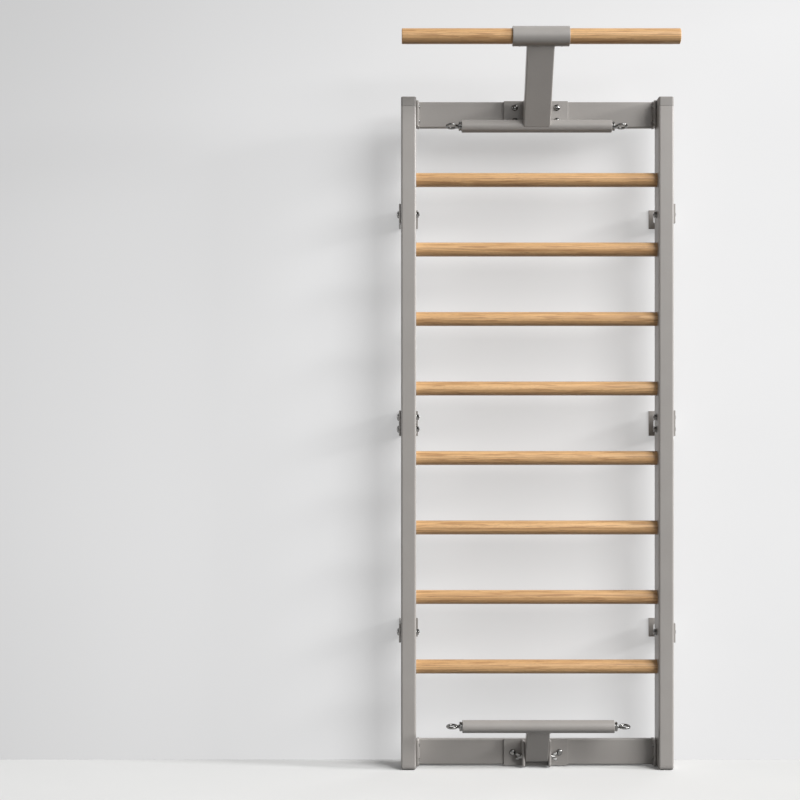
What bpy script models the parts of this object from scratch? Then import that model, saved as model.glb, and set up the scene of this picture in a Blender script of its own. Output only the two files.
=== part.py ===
"""Wall bars: two steel uprights with wooden rungs, a fixed pull-up bar at the top and two eye bars.

The lower eye bar is part of an arm that hinges on a bracket. Metres, +Z up, front towards -Y.
The origin is on the floor, midway across the width and midway between the wall and the
foremost point of the pull-up sleeve.
"""

import math

import bmesh
import bpy
from mathutils import Matrix, Vector

# Uprights
CLEAR_WIDTH = 0.720
UPRIGHT_WIDTH = 0.045
UPRIGHT_DEPTH = 0.085
UPRIGHT_HEIGHT = 2.000
UPRIGHT_WALL = 0.0025
UPRIGHT_CORNER = 0.006
CAP_HEIGHT = 0.028
CAP_EDGE = 0.004
FOOT_HEIGHT = 0.010
FOOT_EDGE = 0.003
PLUG_DEPTH = 0.014

# Rungs
RUNG_COUNT = 8
RUNG_DIAMETER = 0.042
LOWEST_RUNG_LEVEL = 0.302
TOP_RUNG_DROP = 0.242

# Crossbars and the plates welded across their ends
CROSSBAR_HEIGHT = 0.078
CROSSBAR_DEPTH = 0.020
CROSSBAR_WALL = 0.002
CROSSBAR_CORNER = 0.003
END_PLATE_THICKNESS = 0.008
END_PLATE_DEPTH = 0.045
END_PLATE_INSET = 0.0025

# Wall brackets
WALL_DISTANCE = 0.158
BRACKET_THICKNESS = 0.006
BRACKET_SETBACK = 0.010
BRACKET_WALL_LEG = 0.058
BRACKET_BEND = 0.008
OUTER_BRACKET_HEIGHT = 0.057
MIDDLE_BRACKET_HEIGHT = 0.076
MIDDLE_BOLT_PITCH = 0.036
WALL_SLOT_WIDTH = 0.009
WALL_SLOT_LENGTH = 0.022
WALL_SLOT_FROM_END = 0.019

# Bolts through the brackets and uprights, with flanged nuts
BRACKET_BOLT_DIAMETER = 0.008
BRACKET_BOLT_HEAD_DIAMETER = 0.022
BRACKET_BOLT_HEAD_HEIGHT = 0.006
BRACKET_BOLT_TAIL = 0.002
NUT_FLANGE_DIAMETER = 0.022
NUT_FLANGE_THICKNESS = 0.0018
NUT_ACROSS_CORNERS = 0.019
NUT_HEIGHT = 0.008

# Mount plates on the crossbars and the dome head bolts that hold them
MOUNT_PLATE_WIDTH = 0.192
MOUNT_PLATE_THICKNESS = 0.006
MOUNT_BOLT_DIAMETER = 0.008
MOUNT_BOLT_HEAD_DIAMETER = 0.019
MOUNT_BOLT_HEAD_HEIGHT = 0.0055
MOUNT_BOLT_GRIP = 0.008
TOP_BOLT_SPACING_X = 0.126
TOP_BOLT_SPACING_Z = 0.040
BOTTOM_BOLT_SPACING_X = 0.140

# Pull-up arm with its sleeve, the gussets behind it and the bar
ARM_WIDTH = 0.080
ARM_DEPTH = 0.038
ARM_WALL = 0.003
ARM_CORNER = 0.004
BAR_REACH = 0.119
BAR_RISE = 0.149
BAR_DIAMETER = 0.045
BAR_LENGTH = 0.806
BAR_END_CHAMFER = 0.003
SLEEVE_DIAMETER = 0.058
SLEEVE_LENGTH = 0.165
GUSSET_THICKNESS = 0.008
GUSSET_INSET = 0.002

# Eye bars, how far an arm wraps round them, the bushes in their ends and the eyes
EYE_BAR_DIAMETER = 0.038
EYE_BAR_WALL = 0.003
EYE_BAR_LENGTH = 0.448
EYE_BAR_CHAMFER = 0.001
EYE_BAR_WRAP = 0.013
TOP_EYE_BAR_DROP = 0.083
BUSH_DEPTH = 0.014
COLLAR_DIAMETER = 0.028
COLLAR_LENGTH = 0.009
COLLAR_CHAMFER = 0.0015
EYE_SHANK_DIAMETER = 0.008
EYE_SHANK_TAIL = 0.004
EYE_NECK = 0.003
EYE_RING_DIAMETER = 0.036
EYE_RING_SECTION = 0.0075
TOP_EYE_TILT = math.radians(-14.0)
BOTTOM_EYE_TILT = math.radians(9.0)

# Hinged anchor arm, the ears that carry it and the wing bolts
ANCHOR_ARM_WIDTH = 0.068
ANCHOR_ARM_DEPTH = 0.032
ANCHOR_ARM_WALL = 0.003
ANCHOR_ARM_REACH = 0.1226
ANCHOR_ARM_TILT = math.radians(33.7)
ANCHOR_SOLID_END = 0.026
PIVOT_LEVEL = 0.033
EAR_THICKNESS = 0.0085
EAR_NOSE = 0.016
EAR_CORNER = 0.008
WING_SHANK_DIAMETER = 0.010
WING_SHANK_BITE = 0.018
WING_FLANGE_DIAMETER = 0.020
WING_FLANGE_THICKNESS = 0.002
WING_HUB_DIAMETER = 0.015
WING_HUB_TIP_DIAMETER = 0.010
WING_HUB_LENGTH = 0.013
WING_REACH = 0.019
WING_SPAN = 0.026
WING_LOBE_DIAMETER = 0.0095
WING_THICKNESS = 0.0048
LEFT_WING_TURN = math.radians(28.0)
RIGHT_WING_TURN = math.radians(-15.0)

# Clearances, and how far a welded piece stays inside the edge of the plate it is welded to
GAP = 0.0003
BOLT_CLEARANCE = 0.0003
EAR_SIDE_CLEARANCE = 0.0008
FOLD_CLEARANCE = 0.001
EYE_BAR_CLEARANCE = 0.001
WELD_LIP = 0.001

# Facets, and how far cutters reach past what they cut
ROUND_SIDES = 24
FASTENER_SIDES = 12
NUT_SIDES = 6
RING_SIDES = 8
DOME_STEPS = 4
ARC_STEPS = 6
CORNER_STEPS = 3
SMOOTH_ANGLE = math.radians(35.0)
MERGE = 0.00001
CUT_MARGIN = 0.010

# Levels and places that follow from the sizes above
OUTER_HALF = CLEAR_WIDTH / 2 + UPRIGHT_WIDTH
FRONT = (BAR_REACH + SLEEVE_DIAMETER / 2 - WALL_DISTANCE) / 2
BACK = FRONT + UPRIGHT_DEPTH
MID_DEPTH = FRONT + UPRIGHT_DEPTH / 2
WALL = FRONT + WALL_DISTANCE
RUNG_PITCH = (UPRIGHT_HEIGHT - LOWEST_RUNG_LEVEL - TOP_RUNG_DROP) / (RUNG_COUNT - 1)
END_PLATE_HEIGHT = CROSSBAR_HEIGHT + 2 * WELD_LIP
END_PLATE_OUTER = CLEAR_WIDTH / 2 - GAP
CROSSBAR_FRONT = BACK - WELD_LIP - CROSSBAR_DEPTH
TOP_CROSSBAR_LEVEL = UPRIGHT_HEIGHT - END_PLATE_INSET - END_PLATE_HEIGHT / 2
BOTTOM_CROSSBAR_LEVEL = END_PLATE_INSET + END_PLATE_HEIGHT / 2
MOUNT_PLATE_BACK = CROSSBAR_FRONT - GAP
MOUNT_PLATE_FRONT = MOUNT_PLATE_BACK - MOUNT_PLATE_THICKNESS
MOUNT_PLATE_MIDDLE = MOUNT_PLATE_BACK - MOUNT_PLATE_THICKNESS / 2
EYE_BAR_RADIUS = EYE_BAR_DIAMETER / 2
MOUNT_BOLT_CROWN = MOUNT_PLATE_FRONT - GAP - MOUNT_BOLT_HEAD_HEIGHT
TOP_EYE_DEPTH = MOUNT_BOLT_CROWN - EYE_BAR_CLEARANCE - EYE_BAR_RADIUS
TOP_EYE_AXIS = Vector((0.0, TOP_EYE_DEPTH, UPRIGHT_HEIGHT - TOP_EYE_BAR_DROP))
SLEEVE_AXIS = Vector((0.0, FRONT - BAR_REACH, UPRIGHT_HEIGHT + BAR_RISE))
SLEEVE_BORE = BAR_DIAMETER + 2 * GAP
ARM_TILT = math.atan2(TOP_EYE_AXIS.y - SLEEVE_AXIS.y, SLEEVE_AXIS.z - TOP_EYE_AXIS.z)
ARM_LENGTH = (SLEEVE_AXIS - TOP_EYE_AXIS).length
PIVOT = Vector((0.0, MOUNT_PLATE_FRONT - FOLD_CLEARANCE - ANCHOR_ARM_DEPTH / 2, PIVOT_LEVEL))
EAR_INNER = ANCHOR_ARM_WIDTH / 2 + EAR_SIDE_CLEARANCE
EYE_RING_CENTRE = EYE_BAR_LENGTH / 2 + COLLAR_LENGTH + EYE_NECK + EYE_RING_DIAMETER / 2
EYE_RING_MID_RADIUS = (EYE_RING_DIAMETER - EYE_RING_SECTION) / 2

SIDES = {"left": -1, "right": 1}
# Puts an outline's X on Y and its Y on Z, so that its thickness lies along X
STANDING = Matrix(((0, 0, 1, 0), (1, 0, 0, 0), (0, 1, 0, 0), (0, 0, 0, 1)))


def clear_scene():
    """Remove every object, mesh and collection that the scene starts with."""
    for obj in list(bpy.data.objects):
        bpy.data.objects.remove(obj, do_unlink=True)
    for mesh in list(bpy.data.meshes):
        bpy.data.meshes.remove(mesh)
    for collection in list(bpy.data.collections):
        bpy.data.collections.remove(collection)


def add_collection(name):
    """Link a new collection to the scene."""
    collection = bpy.data.collections.new(name)
    bpy.context.scene.collection.children.link(collection)
    return collection


def add_material(name, colour, roughness, metallic):
    """A Principled material with a plain colour."""
    material = bpy.data.materials.new(name)
    material.use_nodes = True
    shader = material.node_tree.nodes["Principled BSDF"]
    shader.inputs["Base Color"].default_value = (*colour, 1.0)
    shader.inputs["Roughness"].default_value = roughness
    shader.inputs["Metallic"].default_value = metallic
    material.diffuse_color = (*colour, 1.0)
    return material


def mesh_from(bm, name):
    """Weld, turn faces outwards, smooth the gentle edges and write a bmesh to a new mesh."""
    bmesh.ops.remove_doubles(bm, verts=bm.verts, dist=MERGE)
    bmesh.ops.recalc_face_normals(bm, faces=bm.faces)
    mesh = bpy.data.meshes.new(name)
    bm.to_mesh(mesh)
    bm.free()
    mesh.shade_smooth()
    mesh.set_sharp_from_angle(angle=SMOOTH_ANGLE)
    return mesh


def evaluated_mesh(source):
    """Turn a curve or an object with modifiers into a plain mesh and remove the object."""
    bpy.context.scene.collection.objects.link(source)
    graph = bpy.context.evaluated_depsgraph_get()
    made = bpy.data.meshes.new_from_object(source.evaluated_get(graph))
    bm = bmesh.new()
    bm.from_mesh(made)
    name = source.name
    bpy.data.objects.remove(source, do_unlink=True)
    bpy.data.meshes.remove(made)
    return mesh_from(bm, name)


def runs_along(edge, axis):
    """Whether an edge is parallel to axis 0, 1 or 2."""
    direction = (edge.verts[1].co - edge.verts[0].co).normalized()
    return abs(direction[axis]) > 0.999


def lies_at(edge, level):
    """Whether both ends of an edge are at a level."""
    return all(abs(vert.co.z - level) < MERGE for vert in edge.verts)


def box_mesh(name, low, high, rounded_axis=None, radius=0.0, rim_level=None, rim_radius=0.0):
    """A box between two corners.

    The four edges along rounded_axis are rounded if it is given, and then the rim of the end
    face at rim_level if that is given.
    """
    low = Vector(low)
    high = Vector(high)
    bm = bmesh.new()
    bmesh.ops.create_cube(bm, size=1.0)
    bmesh.ops.scale(bm, vec=high - low, verts=bm.verts)
    bmesh.ops.translate(bm, vec=(low + high) / 2, verts=bm.verts)
    if rounded_axis is not None:
        edges = [edge for edge in bm.edges if runs_along(edge, rounded_axis)]
        round_edges(bm, edges, radius)
    if rim_level is not None:
        round_edges(bm, [edge for edge in bm.edges if lies_at(edge, rim_level)], rim_radius)
    return mesh_from(bm, name)


def round_edges(bm, edges, radius):
    """Round edges of a bmesh."""
    bmesh.ops.bevel(
        bm, geom=edges, offset=radius, segments=CORNER_STEPS, profile=0.5, affect="EDGES"
    )


def rod_mesh(name, radius, start, end, sides, chamfer=0.0):
    """A cylinder between two points, with both rims chamfered if asked."""
    start = Vector(start)
    end = Vector(end)
    bm = bmesh.new()
    bmesh.ops.create_cone(
        bm,
        cap_ends=True,
        segments=sides,
        radius1=radius,
        radius2=radius,
        depth=(end - start).length,
    )
    if chamfer > 0.0:
        rims = [edge for edge in bm.edges if not runs_along(edge, 2)]
        bmesh.ops.bevel(bm, geom=rims, offset=chamfer, segments=1, affect="EDGES")
    turn = Vector((0, 0, 1)).rotation_difference(end - start).to_matrix().to_4x4()
    place = Matrix.Translation((start + end) / 2) @ turn
    bmesh.ops.transform(bm, matrix=place, verts=bm.verts)
    return mesh_from(bm, name)


def turned_mesh(name, profile, sides, closed=False):
    """Turn a profile of (radius, height) points about Z, from top to bottom on its outer side."""
    edges = [(i, i + 1) for i in range(len(profile) - 1)]
    if closed:
        edges.append((len(profile) - 1, 0))
    outline = bpy.data.meshes.new(name)
    outline.from_pydata([(radius, 0.0, height) for radius, height in profile], edges, [])
    blank = bpy.data.objects.new(name, outline)
    screw = blank.modifiers.new("turn", "SCREW")
    screw.axis = "Z"
    screw.angle = 2 * math.pi
    screw.steps = sides
    screw.render_steps = sides
    screw.use_merge_vertices = True
    screw.merge_threshold = MERGE
    return evaluated_mesh(blank)


def tube_mesh(name, outer, inner, length, chamfer=0.0):
    """A round tube about Z, centred on the origin, with its outer rims chamfered if asked."""
    half = length / 2
    profile = [(inner, half), (outer - chamfer, half)]
    if chamfer > 0.0:
        profile += [(outer, half - chamfer), (outer, chamfer - half)]
    profile += [(outer - chamfer, -half), (inner, -half)]
    return turned_mesh(name, profile, ROUND_SIDES, closed=True)


def outline_mesh(name, outline, thickness):
    """A flat plate in X and Y, centred on Z = 0, from a closed outline."""
    curve = bpy.data.curves.new(name, "CURVE")
    curve.dimensions = "2D"
    curve.fill_mode = "BOTH"
    curve.extrude = thickness / 2
    spline = curve.splines.new("POLY")
    spline.points.add(len(outline) - 1)
    for point, (x, y) in zip(spline.points, outline):
        point.co = (x, y, 0.0, 1.0)
    spline.use_cyclic_u = True
    return evaluated_mesh(bpy.data.objects.new(name, curve))


def arc(centre, radius, start, end, steps=ARC_STEPS):
    """Points of an arc, angles in radians, both ends included."""
    angles = [start + (end - start) * i / steps for i in range(steps + 1)]
    return [(centre[0] + radius * math.cos(a), centre[1] + radius * math.sin(a)) for a in angles]


def stadium(start, end, radius):
    """Outline of the band that keeps radius from a line between two points."""
    heading = math.atan2(end[1] - start[1], end[0] - start[0])
    quarter = math.pi / 2
    return arc(end, radius, heading - quarter, heading + quarter) + arc(
        start, radius, heading + quarter, heading + 3 * quarter
    )


def moved(mesh, matrix):
    """Move a mesh's points."""
    mesh.transform(matrix)
    return mesh


def shifted(mesh, x, y, z):
    """Move a mesh's points without turning them."""
    return moved(mesh, Matrix.Translation((x, y, z)))


def joined(name, meshes):
    """One mesh that holds several, which are removed."""
    bm = bmesh.new()
    for mesh in meshes:
        bm.from_mesh(mesh)
        bpy.data.meshes.remove(mesh)
    return mesh_from(bm, name)


def outward_turn(sign):
    """Euler angles that point local Z away from the middle on one side."""
    return (0.0, sign * math.pi / 2, 0.0)


def along_x(mesh):
    """Turn a mesh made about Z to lie along X."""
    return moved(mesh, Matrix.Rotation(math.pi / 2, 4, "Y"))


class Bench:
    """Holds the collections and finishes, and adds parts, cutters and joints to them."""

    def __init__(self):
        """Make the collections and the finishes."""
        self.parts = add_collection("wall_bars")
        self.cutters = add_collection("cutters")
        self.paint = add_material("warm_grey_paint", (0.36, 0.34, 0.32), 0.45, 0.0)
        self.plastic = add_material("grey_plastic", (0.30, 0.29, 0.275), 0.55, 0.0)
        self.wood = add_material("oiled_oak", (0.62, 0.39, 0.19), 0.5, 0.0)
        self.zinc = add_material("bright_zinc", (0.72, 0.72, 0.70), 0.25, 1.0)

    def pivot(self, name, location, turn):
        """An empty on a joint's axis, turned about X."""
        empty = bpy.data.objects.new(name, None)
        empty.location = location
        empty.rotation_euler = (turn, 0.0, 0.0)
        self.parts.objects.link(empty)
        return empty

    def part(self, name, mesh, material, location=(0, 0, 0), rotation=(0, 0, 0), parent=None):
        """Add a named part with its finish. Parts that are alike share their mesh."""
        if not mesh.materials:
            mesh.materials.append(material)
        obj = bpy.data.objects.new(name, mesh)
        obj.location = location
        obj.rotation_euler = rotation
        obj.parent = parent
        self.parts.objects.link(obj)
        return obj

    def shape(self, part, tool, operation="DIFFERENCE"):
        """Cut a tool mesh from a part, or join it on, in the part's own axes."""
        cutter = bpy.data.objects.new(f"{part.name}_tool_{len(part.modifiers)}", tool)
        cutter.hide_render = True
        cutter.display_type = "WIRE"
        cutter.location = part.location
        cutter.rotation_euler = part.rotation_euler
        cutter.parent = part.parent
        self.cutters.objects.link(cutter)
        boolean = part.modifiers.new(operation.lower(), "BOOLEAN")
        boolean.operation = operation
        boolean.solver = "EXACT"
        boolean.object = cutter


def rung_levels():
    """Height of each rung's axis, from the lowest up."""
    return [LOWEST_RUNG_LEVEL + i * RUNG_PITCH for i in range(RUNG_COUNT)]


def bracket_rows():
    """Level, plate height and named bolt levels of each bracket on one upright.

    Each bracket sits midway between two rungs.
    """
    levels = rung_levels()
    middle = RUNG_COUNT // 2
    bottom_level = (levels[0] + levels[1]) / 2
    middle_level = (levels[middle - 1] + levels[middle]) / 2
    top_level = (levels[-2] + levels[-1]) / 2
    middle_bolts = {
        "middle_lower": middle_level - MIDDLE_BOLT_PITCH / 2,
        "middle_upper": middle_level + MIDDLE_BOLT_PITCH / 2,
    }
    return {
        "bottom": (bottom_level, OUTER_BRACKET_HEIGHT, {"bottom": bottom_level}),
        "middle": (middle_level, MIDDLE_BRACKET_HEIGHT, middle_bolts),
        "top": (top_level, OUTER_BRACKET_HEIGHT, {"top": top_level}),
    }


def bracket_bolt_levels():
    """Every bracket bolt on one upright, by name."""
    levels = {}
    for _, _, bolts in bracket_rows().values():
        levels.update(bolts)
    return levels


def across_upright(sign):
    """Lower and upper X of the upright on one side."""
    return sorted((sign * CLEAR_WIDTH / 2, sign * OUTER_HALF))


def build_uprights(bench):
    """Both tubes, holed for the rungs and the bracket bolts."""
    bottom = FOOT_HEIGHT + GAP
    top = UPRIGHT_HEIGHT - CAP_HEIGHT - GAP
    for side, sign in SIDES.items():
        low, high = across_upright(sign)
        tube = box_mesh(
            f"{side}_upright", (low, FRONT, bottom), (high, BACK, top), 2, UPRIGHT_CORNER
        )
        upright = bench.part(f"{side}_upright", tube, bench.paint)
        bench.shape(upright, bore_mesh(sign, bottom - CUT_MARGIN, top + CUT_MARGIN))
        bench.shape(upright, upright_holes(sign))


def bore_mesh(sign, bottom, top, shrink=0.0):
    """The space inside an upright between two levels, drawn in by shrink all round."""
    low, high = across_upright(sign)
    inset = UPRIGHT_WALL + shrink
    return box_mesh(
        "bore",
        (low + inset, FRONT + inset, bottom),
        (high - inset, BACK - inset, top),
        2,
        UPRIGHT_CORNER - UPRIGHT_WALL,
    )


def upright_holes(sign):
    """Rods for one upright: rungs stop at its middle and bolts go through."""
    near = sign * (CLEAR_WIDTH / 2 - CUT_MARGIN)
    middle = sign * (CLEAR_WIDTH / 2 + UPRIGHT_WIDTH / 2)
    far = sign * (OUTER_HALF + CUT_MARGIN)
    rung_radius = RUNG_DIAMETER / 2 + GAP
    bolt_radius = BRACKET_BOLT_DIAMETER / 2 + BOLT_CLEARANCE
    rods = [
        rod_mesh("rod", rung_radius, (near, MID_DEPTH, z), (middle, MID_DEPTH, z), ROUND_SIDES)
        for z in rung_levels()
    ]
    rods += [
        rod_mesh("rod", bolt_radius, (near, MID_DEPTH, z), (far, MID_DEPTH, z), FASTENER_SIDES)
        for z in bracket_bolt_levels().values()
    ]
    return joined("holes", rods)


def build_ends(bench):
    """A cap and a foot for each upright, each with a plug that fills the tube's end."""
    cap_low = UPRIGHT_HEIGHT - CAP_HEIGHT
    for side, sign in SIDES.items():
        cap_plug = bore_mesh(sign, cap_low - PLUG_DEPTH, UPRIGHT_HEIGHT - CAP_HEIGHT / 2, GAP)
        foot_plug = bore_mesh(sign, FOOT_HEIGHT / 2, FOOT_HEIGHT + PLUG_DEPTH, GAP)
        low, high = across_upright(sign)
        cap = box_mesh(
            f"{side}_top_cap",
            (low, FRONT, cap_low),
            (high, BACK, UPRIGHT_HEIGHT),
            rounded_axis=2,
            radius=UPRIGHT_CORNER,
            rim_level=UPRIGHT_HEIGHT,
            rim_radius=CAP_EDGE,
        )
        foot = box_mesh(
            f"{side}_foot",
            (low, FRONT, 0.0),
            (high, BACK, FOOT_HEIGHT),
            rounded_axis=2,
            radius=UPRIGHT_CORNER,
            rim_level=0.0,
            rim_radius=FOOT_EDGE,
        )
        bench.shape(bench.part(f"{side}_top_cap", cap, bench.plastic), cap_plug, "UNION")
        bench.shape(bench.part(f"{side}_foot", foot, bench.plastic), foot_plug, "UNION")


def build_rungs(bench):
    """Round wooden rungs that reach through the uprights' inner walls."""
    half = OUTER_HALF - UPRIGHT_WALL - GAP
    rung = rod_mesh("rung", RUNG_DIAMETER / 2, (-half, 0, 0), (half, 0, 0), ROUND_SIDES)
    for number, level in enumerate(rung_levels(), start=1):
        bench.part(f"rung_{number}", rung, bench.wood, (0.0, MID_DEPTH, level))


def build_crossbars(bench):
    """Top and bottom crossbars: a flat tube with a plate welded across each end."""
    rows = {
        "top": (TOP_CROSSBAR_LEVEL, top_bolt_places()),
        "bottom": (BOTTOM_CROSSBAR_LEVEL, bottom_bolt_places()),
    }
    half_length = END_PLATE_OUTER - END_PLATE_THICKNESS / 2
    for name, (level, places) in rows.items():
        low = Vector((-half_length, CROSSBAR_FRONT, level - CROSSBAR_HEIGHT / 2))
        high = Vector((half_length, BACK - WELD_LIP, level + CROSSBAR_HEIGHT / 2))
        tube = box_mesh(f"{name}_crossbar", low, high, 0, CROSSBAR_CORNER)
        crossbar = bench.part(f"{name}_crossbar", tube, bench.paint)
        for sign in SIDES.values():
            bench.shape(crossbar, end_plate_mesh(sign, level), "UNION")
        wall = Vector((END_PLATE_THICKNESS / 2, CROSSBAR_WALL, CROSSBAR_WALL))
        bench.shape(crossbar, box_mesh("hollow", low + wall, high - wall))
        bench.shape(crossbar, mount_bolt_holes(places))


def end_plate_mesh(sign, level):
    """The plate on one end of a crossbar, against the upright's inner face."""
    outer = sign * END_PLATE_OUTER
    low, high = sorted((outer, outer - sign * END_PLATE_THICKNESS))
    return box_mesh(
        "end_plate",
        (low, BACK - END_PLATE_DEPTH, level - END_PLATE_HEIGHT / 2),
        (high, BACK, level + END_PLATE_HEIGHT / 2),
    )


def bracket_outline(sign):
    """A bracket in plan: a leg on the upright's outer face, and one along the wall turned inwards."""
    near = OUTER_HALF + GAP
    far = near + BRACKET_THICKNESS
    end = far - BRACKET_WALL_LEG
    start = FRONT + BRACKET_SETBACK
    bend_centre = (far - BRACKET_BEND, WALL - BRACKET_BEND)
    outline = [(near, start), (far, start)]
    outline += arc(bend_centre, BRACKET_BEND, 0.0, math.pi / 2)
    outline += [(end, WALL), (end, WALL - BRACKET_THICKNESS), (near, WALL - BRACKET_THICKNESS)]
    return [(sign * x, y) for x, y in outline]


def build_wall_brackets(bench):
    """Three brackets on each upright, each with bolt holes and a slot for a wall screw."""
    for side, sign in SIDES.items():
        for name, (level, height, bolts) in bracket_rows().items():
            title = f"{side}_{name}_wall_bracket"
            plate = outline_mesh(title, bracket_outline(sign), height)
            bracket = bench.part(title, plate, bench.paint, (0.0, 0.0, level))
            bench.shape(bracket, wall_slot_mesh(sign))
            bench.shape(bracket, bracket_bolt_holes(sign, [z - level for z in bolts.values()]))


def wall_slot_mesh(sign):
    """The upright slot through a bracket's wall leg, at the bracket's own mid height."""
    across = sign * (OUTER_HALF + GAP + BRACKET_THICKNESS - BRACKET_WALL_LEG + WALL_SLOT_FROM_END)
    reach = (WALL_SLOT_LENGTH - WALL_SLOT_WIDTH) / 2
    outline = stadium((0.0, -reach), (0.0, reach), WALL_SLOT_WIDTH / 2)
    slot = outline_mesh("slot", outline, 2 * CUT_MARGIN)
    return shifted(moved(slot, Matrix.Rotation(math.pi / 2, 4, "X")), across, WALL, 0.0)


def bracket_bolt_holes(sign, heights):
    """Rods that cut the bolt holes of a bracket's side leg."""
    radius = BRACKET_BOLT_DIAMETER / 2 + BOLT_CLEARANCE
    near = sign * (OUTER_HALF - CUT_MARGIN)
    far = sign * (OUTER_HALF + BRACKET_THICKNESS + CUT_MARGIN)
    rods = [
        rod_mesh("rod", radius, (near, MID_DEPTH, z), (far, MID_DEPTH, z), FASTENER_SIDES)
        for z in heights
    ]
    return joined("bolt_holes", rods)


def dome_bolt_mesh(name, head_diameter, head_height, diameter, length):
    """A bolt with its domed head above Z = 0 and its shank below."""
    profile = [(0.0, head_height)]
    for i in range(1, DOME_STEPS + 1):
        angle = math.pi / 2 * i / DOME_STEPS
        profile.append((head_diameter / 2 * math.sin(angle), head_height * math.cos(angle)))
    radius = diameter / 2
    profile += [(radius, 0.0), (radius, -length), (0.0, -length)]
    return turned_mesh(name, profile, FASTENER_SIDES)


def flange_nut_meshes():
    """The flange, hexagon and bore of a nut that stands on Z = 0."""
    flange = rod_mesh(
        "bracket_nut",
        NUT_FLANGE_DIAMETER / 2,
        (0, 0, 0),
        (0, 0, NUT_FLANGE_THICKNESS),
        ROUND_SIDES,
    )
    hexagon = rod_mesh(
        "hexagon",
        NUT_ACROSS_CORNERS / 2,
        (0, 0, NUT_FLANGE_THICKNESS / 2),
        (0, 0, NUT_HEIGHT),
        NUT_SIDES,
    )
    bore = rod_mesh(
        "bore",
        BRACKET_BOLT_DIAMETER / 2 + BOLT_CLEARANCE,
        (0, 0, -CUT_MARGIN),
        (0, 0, NUT_HEIGHT + CUT_MARGIN),
        FASTENER_SIDES,
    )
    return flange, hexagon, bore


def build_bracket_fasteners(bench):
    """Domed bolts from outside, with flanged nuts on the uprights' inner faces."""
    head_face = OUTER_HALF + GAP + BRACKET_THICKNESS + GAP
    nut_face = CLEAR_WIDTH / 2 - GAP
    bolt = dome_bolt_mesh(
        "bracket_bolt",
        BRACKET_BOLT_HEAD_DIAMETER,
        BRACKET_BOLT_HEAD_HEIGHT,
        BRACKET_BOLT_DIAMETER,
        head_face - nut_face + NUT_HEIGHT + BRACKET_BOLT_TAIL,
    )
    flange, hexagon, bore = flange_nut_meshes()
    for side, sign in SIDES.items():
        for name, level in bracket_bolt_levels().items():
            bolt_place = (sign * head_face, MID_DEPTH, level)
            nut_place = (sign * nut_face, MID_DEPTH, level)
            title = f"{side}_{name}_bracket"
            bench.part(f"{title}_bolt", bolt, bench.zinc, bolt_place, outward_turn(sign))
            nut = bench.part(f"{title}_nut", flange, bench.zinc, nut_place, outward_turn(-sign))
            bench.shape(nut, hexagon, "UNION")
            bench.shape(nut, bore)


def top_bolt_places():
    """Across and up positions of the top mount plate's four bolts, by name."""
    across = TOP_BOLT_SPACING_X / 2
    up = TOP_BOLT_SPACING_Z / 2
    rows = {"lower": TOP_CROSSBAR_LEVEL - up, "upper": TOP_CROSSBAR_LEVEL + up}
    return {
        f"{side}_{row}": (sign * across, level)
        for side, sign in SIDES.items()
        for row, level in rows.items()
    }


def bottom_bolt_places():
    """Across and up positions of the bottom mount plate's two bolts, by name."""
    across = BOTTOM_BOLT_SPACING_X / 2
    return {side: (sign * across, BOTTOM_CROSSBAR_LEVEL) for side, sign in SIDES.items()}


def mount_bolt_holes(places):
    """Rods that cut mount bolt holes through a plate and the crossbar's front wall."""
    radius = MOUNT_BOLT_DIAMETER / 2 + BOLT_CLEARANCE
    start = MOUNT_PLATE_FRONT - CUT_MARGIN
    end = CROSSBAR_FRONT + CROSSBAR_DEPTH / 2
    rods = [
        rod_mesh("rod", radius, (x, start, z), (x, end, z), FASTENER_SIDES)
        for x, z in places.values()
    ]
    return joined("bolt_holes", rods)


def build_mount(bench, name, level, places, welded):
    """A mount plate on a crossbar's front, the plates welded to it and its dome head bolts."""
    half_width = MOUNT_PLATE_WIDTH / 2
    half_height = END_PLATE_HEIGHT / 2
    plate = box_mesh(
        name,
        (-half_width, MOUNT_PLATE_FRONT, level - half_height),
        (half_width, MOUNT_PLATE_BACK, level + half_height),
    )
    bracket = bench.part(name, plate, bench.paint)
    for mesh in welded:
        bench.shape(bracket, mesh, "UNION")
    bench.shape(bracket, mount_bolt_holes(places))
    bolt = dome_bolt_mesh(
        f"{name}_bolt",
        MOUNT_BOLT_HEAD_DIAMETER,
        MOUNT_BOLT_HEAD_HEIGHT,
        MOUNT_BOLT_DIAMETER,
        GAP + MOUNT_PLATE_THICKNESS + GAP + CROSSBAR_WALL + MOUNT_BOLT_GRIP,
    )
    for place, (x, z) in places.items():
        location = (x, MOUNT_PLATE_FRONT - GAP, z)
        bench.part(f"{name}_{place}_bolt", bolt, bench.zinc, location, (math.pi / 2, 0, 0))
    return bracket


def build_pull_up_unit(bench):
    """The bracket on the top crossbar, the arm with its sleeve, the wooden bar and an eye bar."""
    gussets = [gusset_mesh(sign) for sign in SIDES.values()]
    build_mount(bench, "top_mount_bracket", TOP_CROSSBAR_LEVEL, top_bolt_places(), gussets)
    build_pull_up_arm(bench)
    half = BAR_LENGTH / 2
    bar = rod_mesh(
        "pull_up_bar", BAR_DIAMETER / 2, (-half, 0, 0), (half, 0, 0), ROUND_SIDES, BAR_END_CHAMFER
    )
    bench.part("pull_up_bar", bar, bench.wood, SLEEVE_AXIS)
    bench.part("top_eye_bar", along_x(eye_bar_mesh()), bench.paint, TOP_EYE_AXIS)
    build_eyes(bench, "top", TOP_EYE_AXIS, TOP_EYE_TILT)


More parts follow.
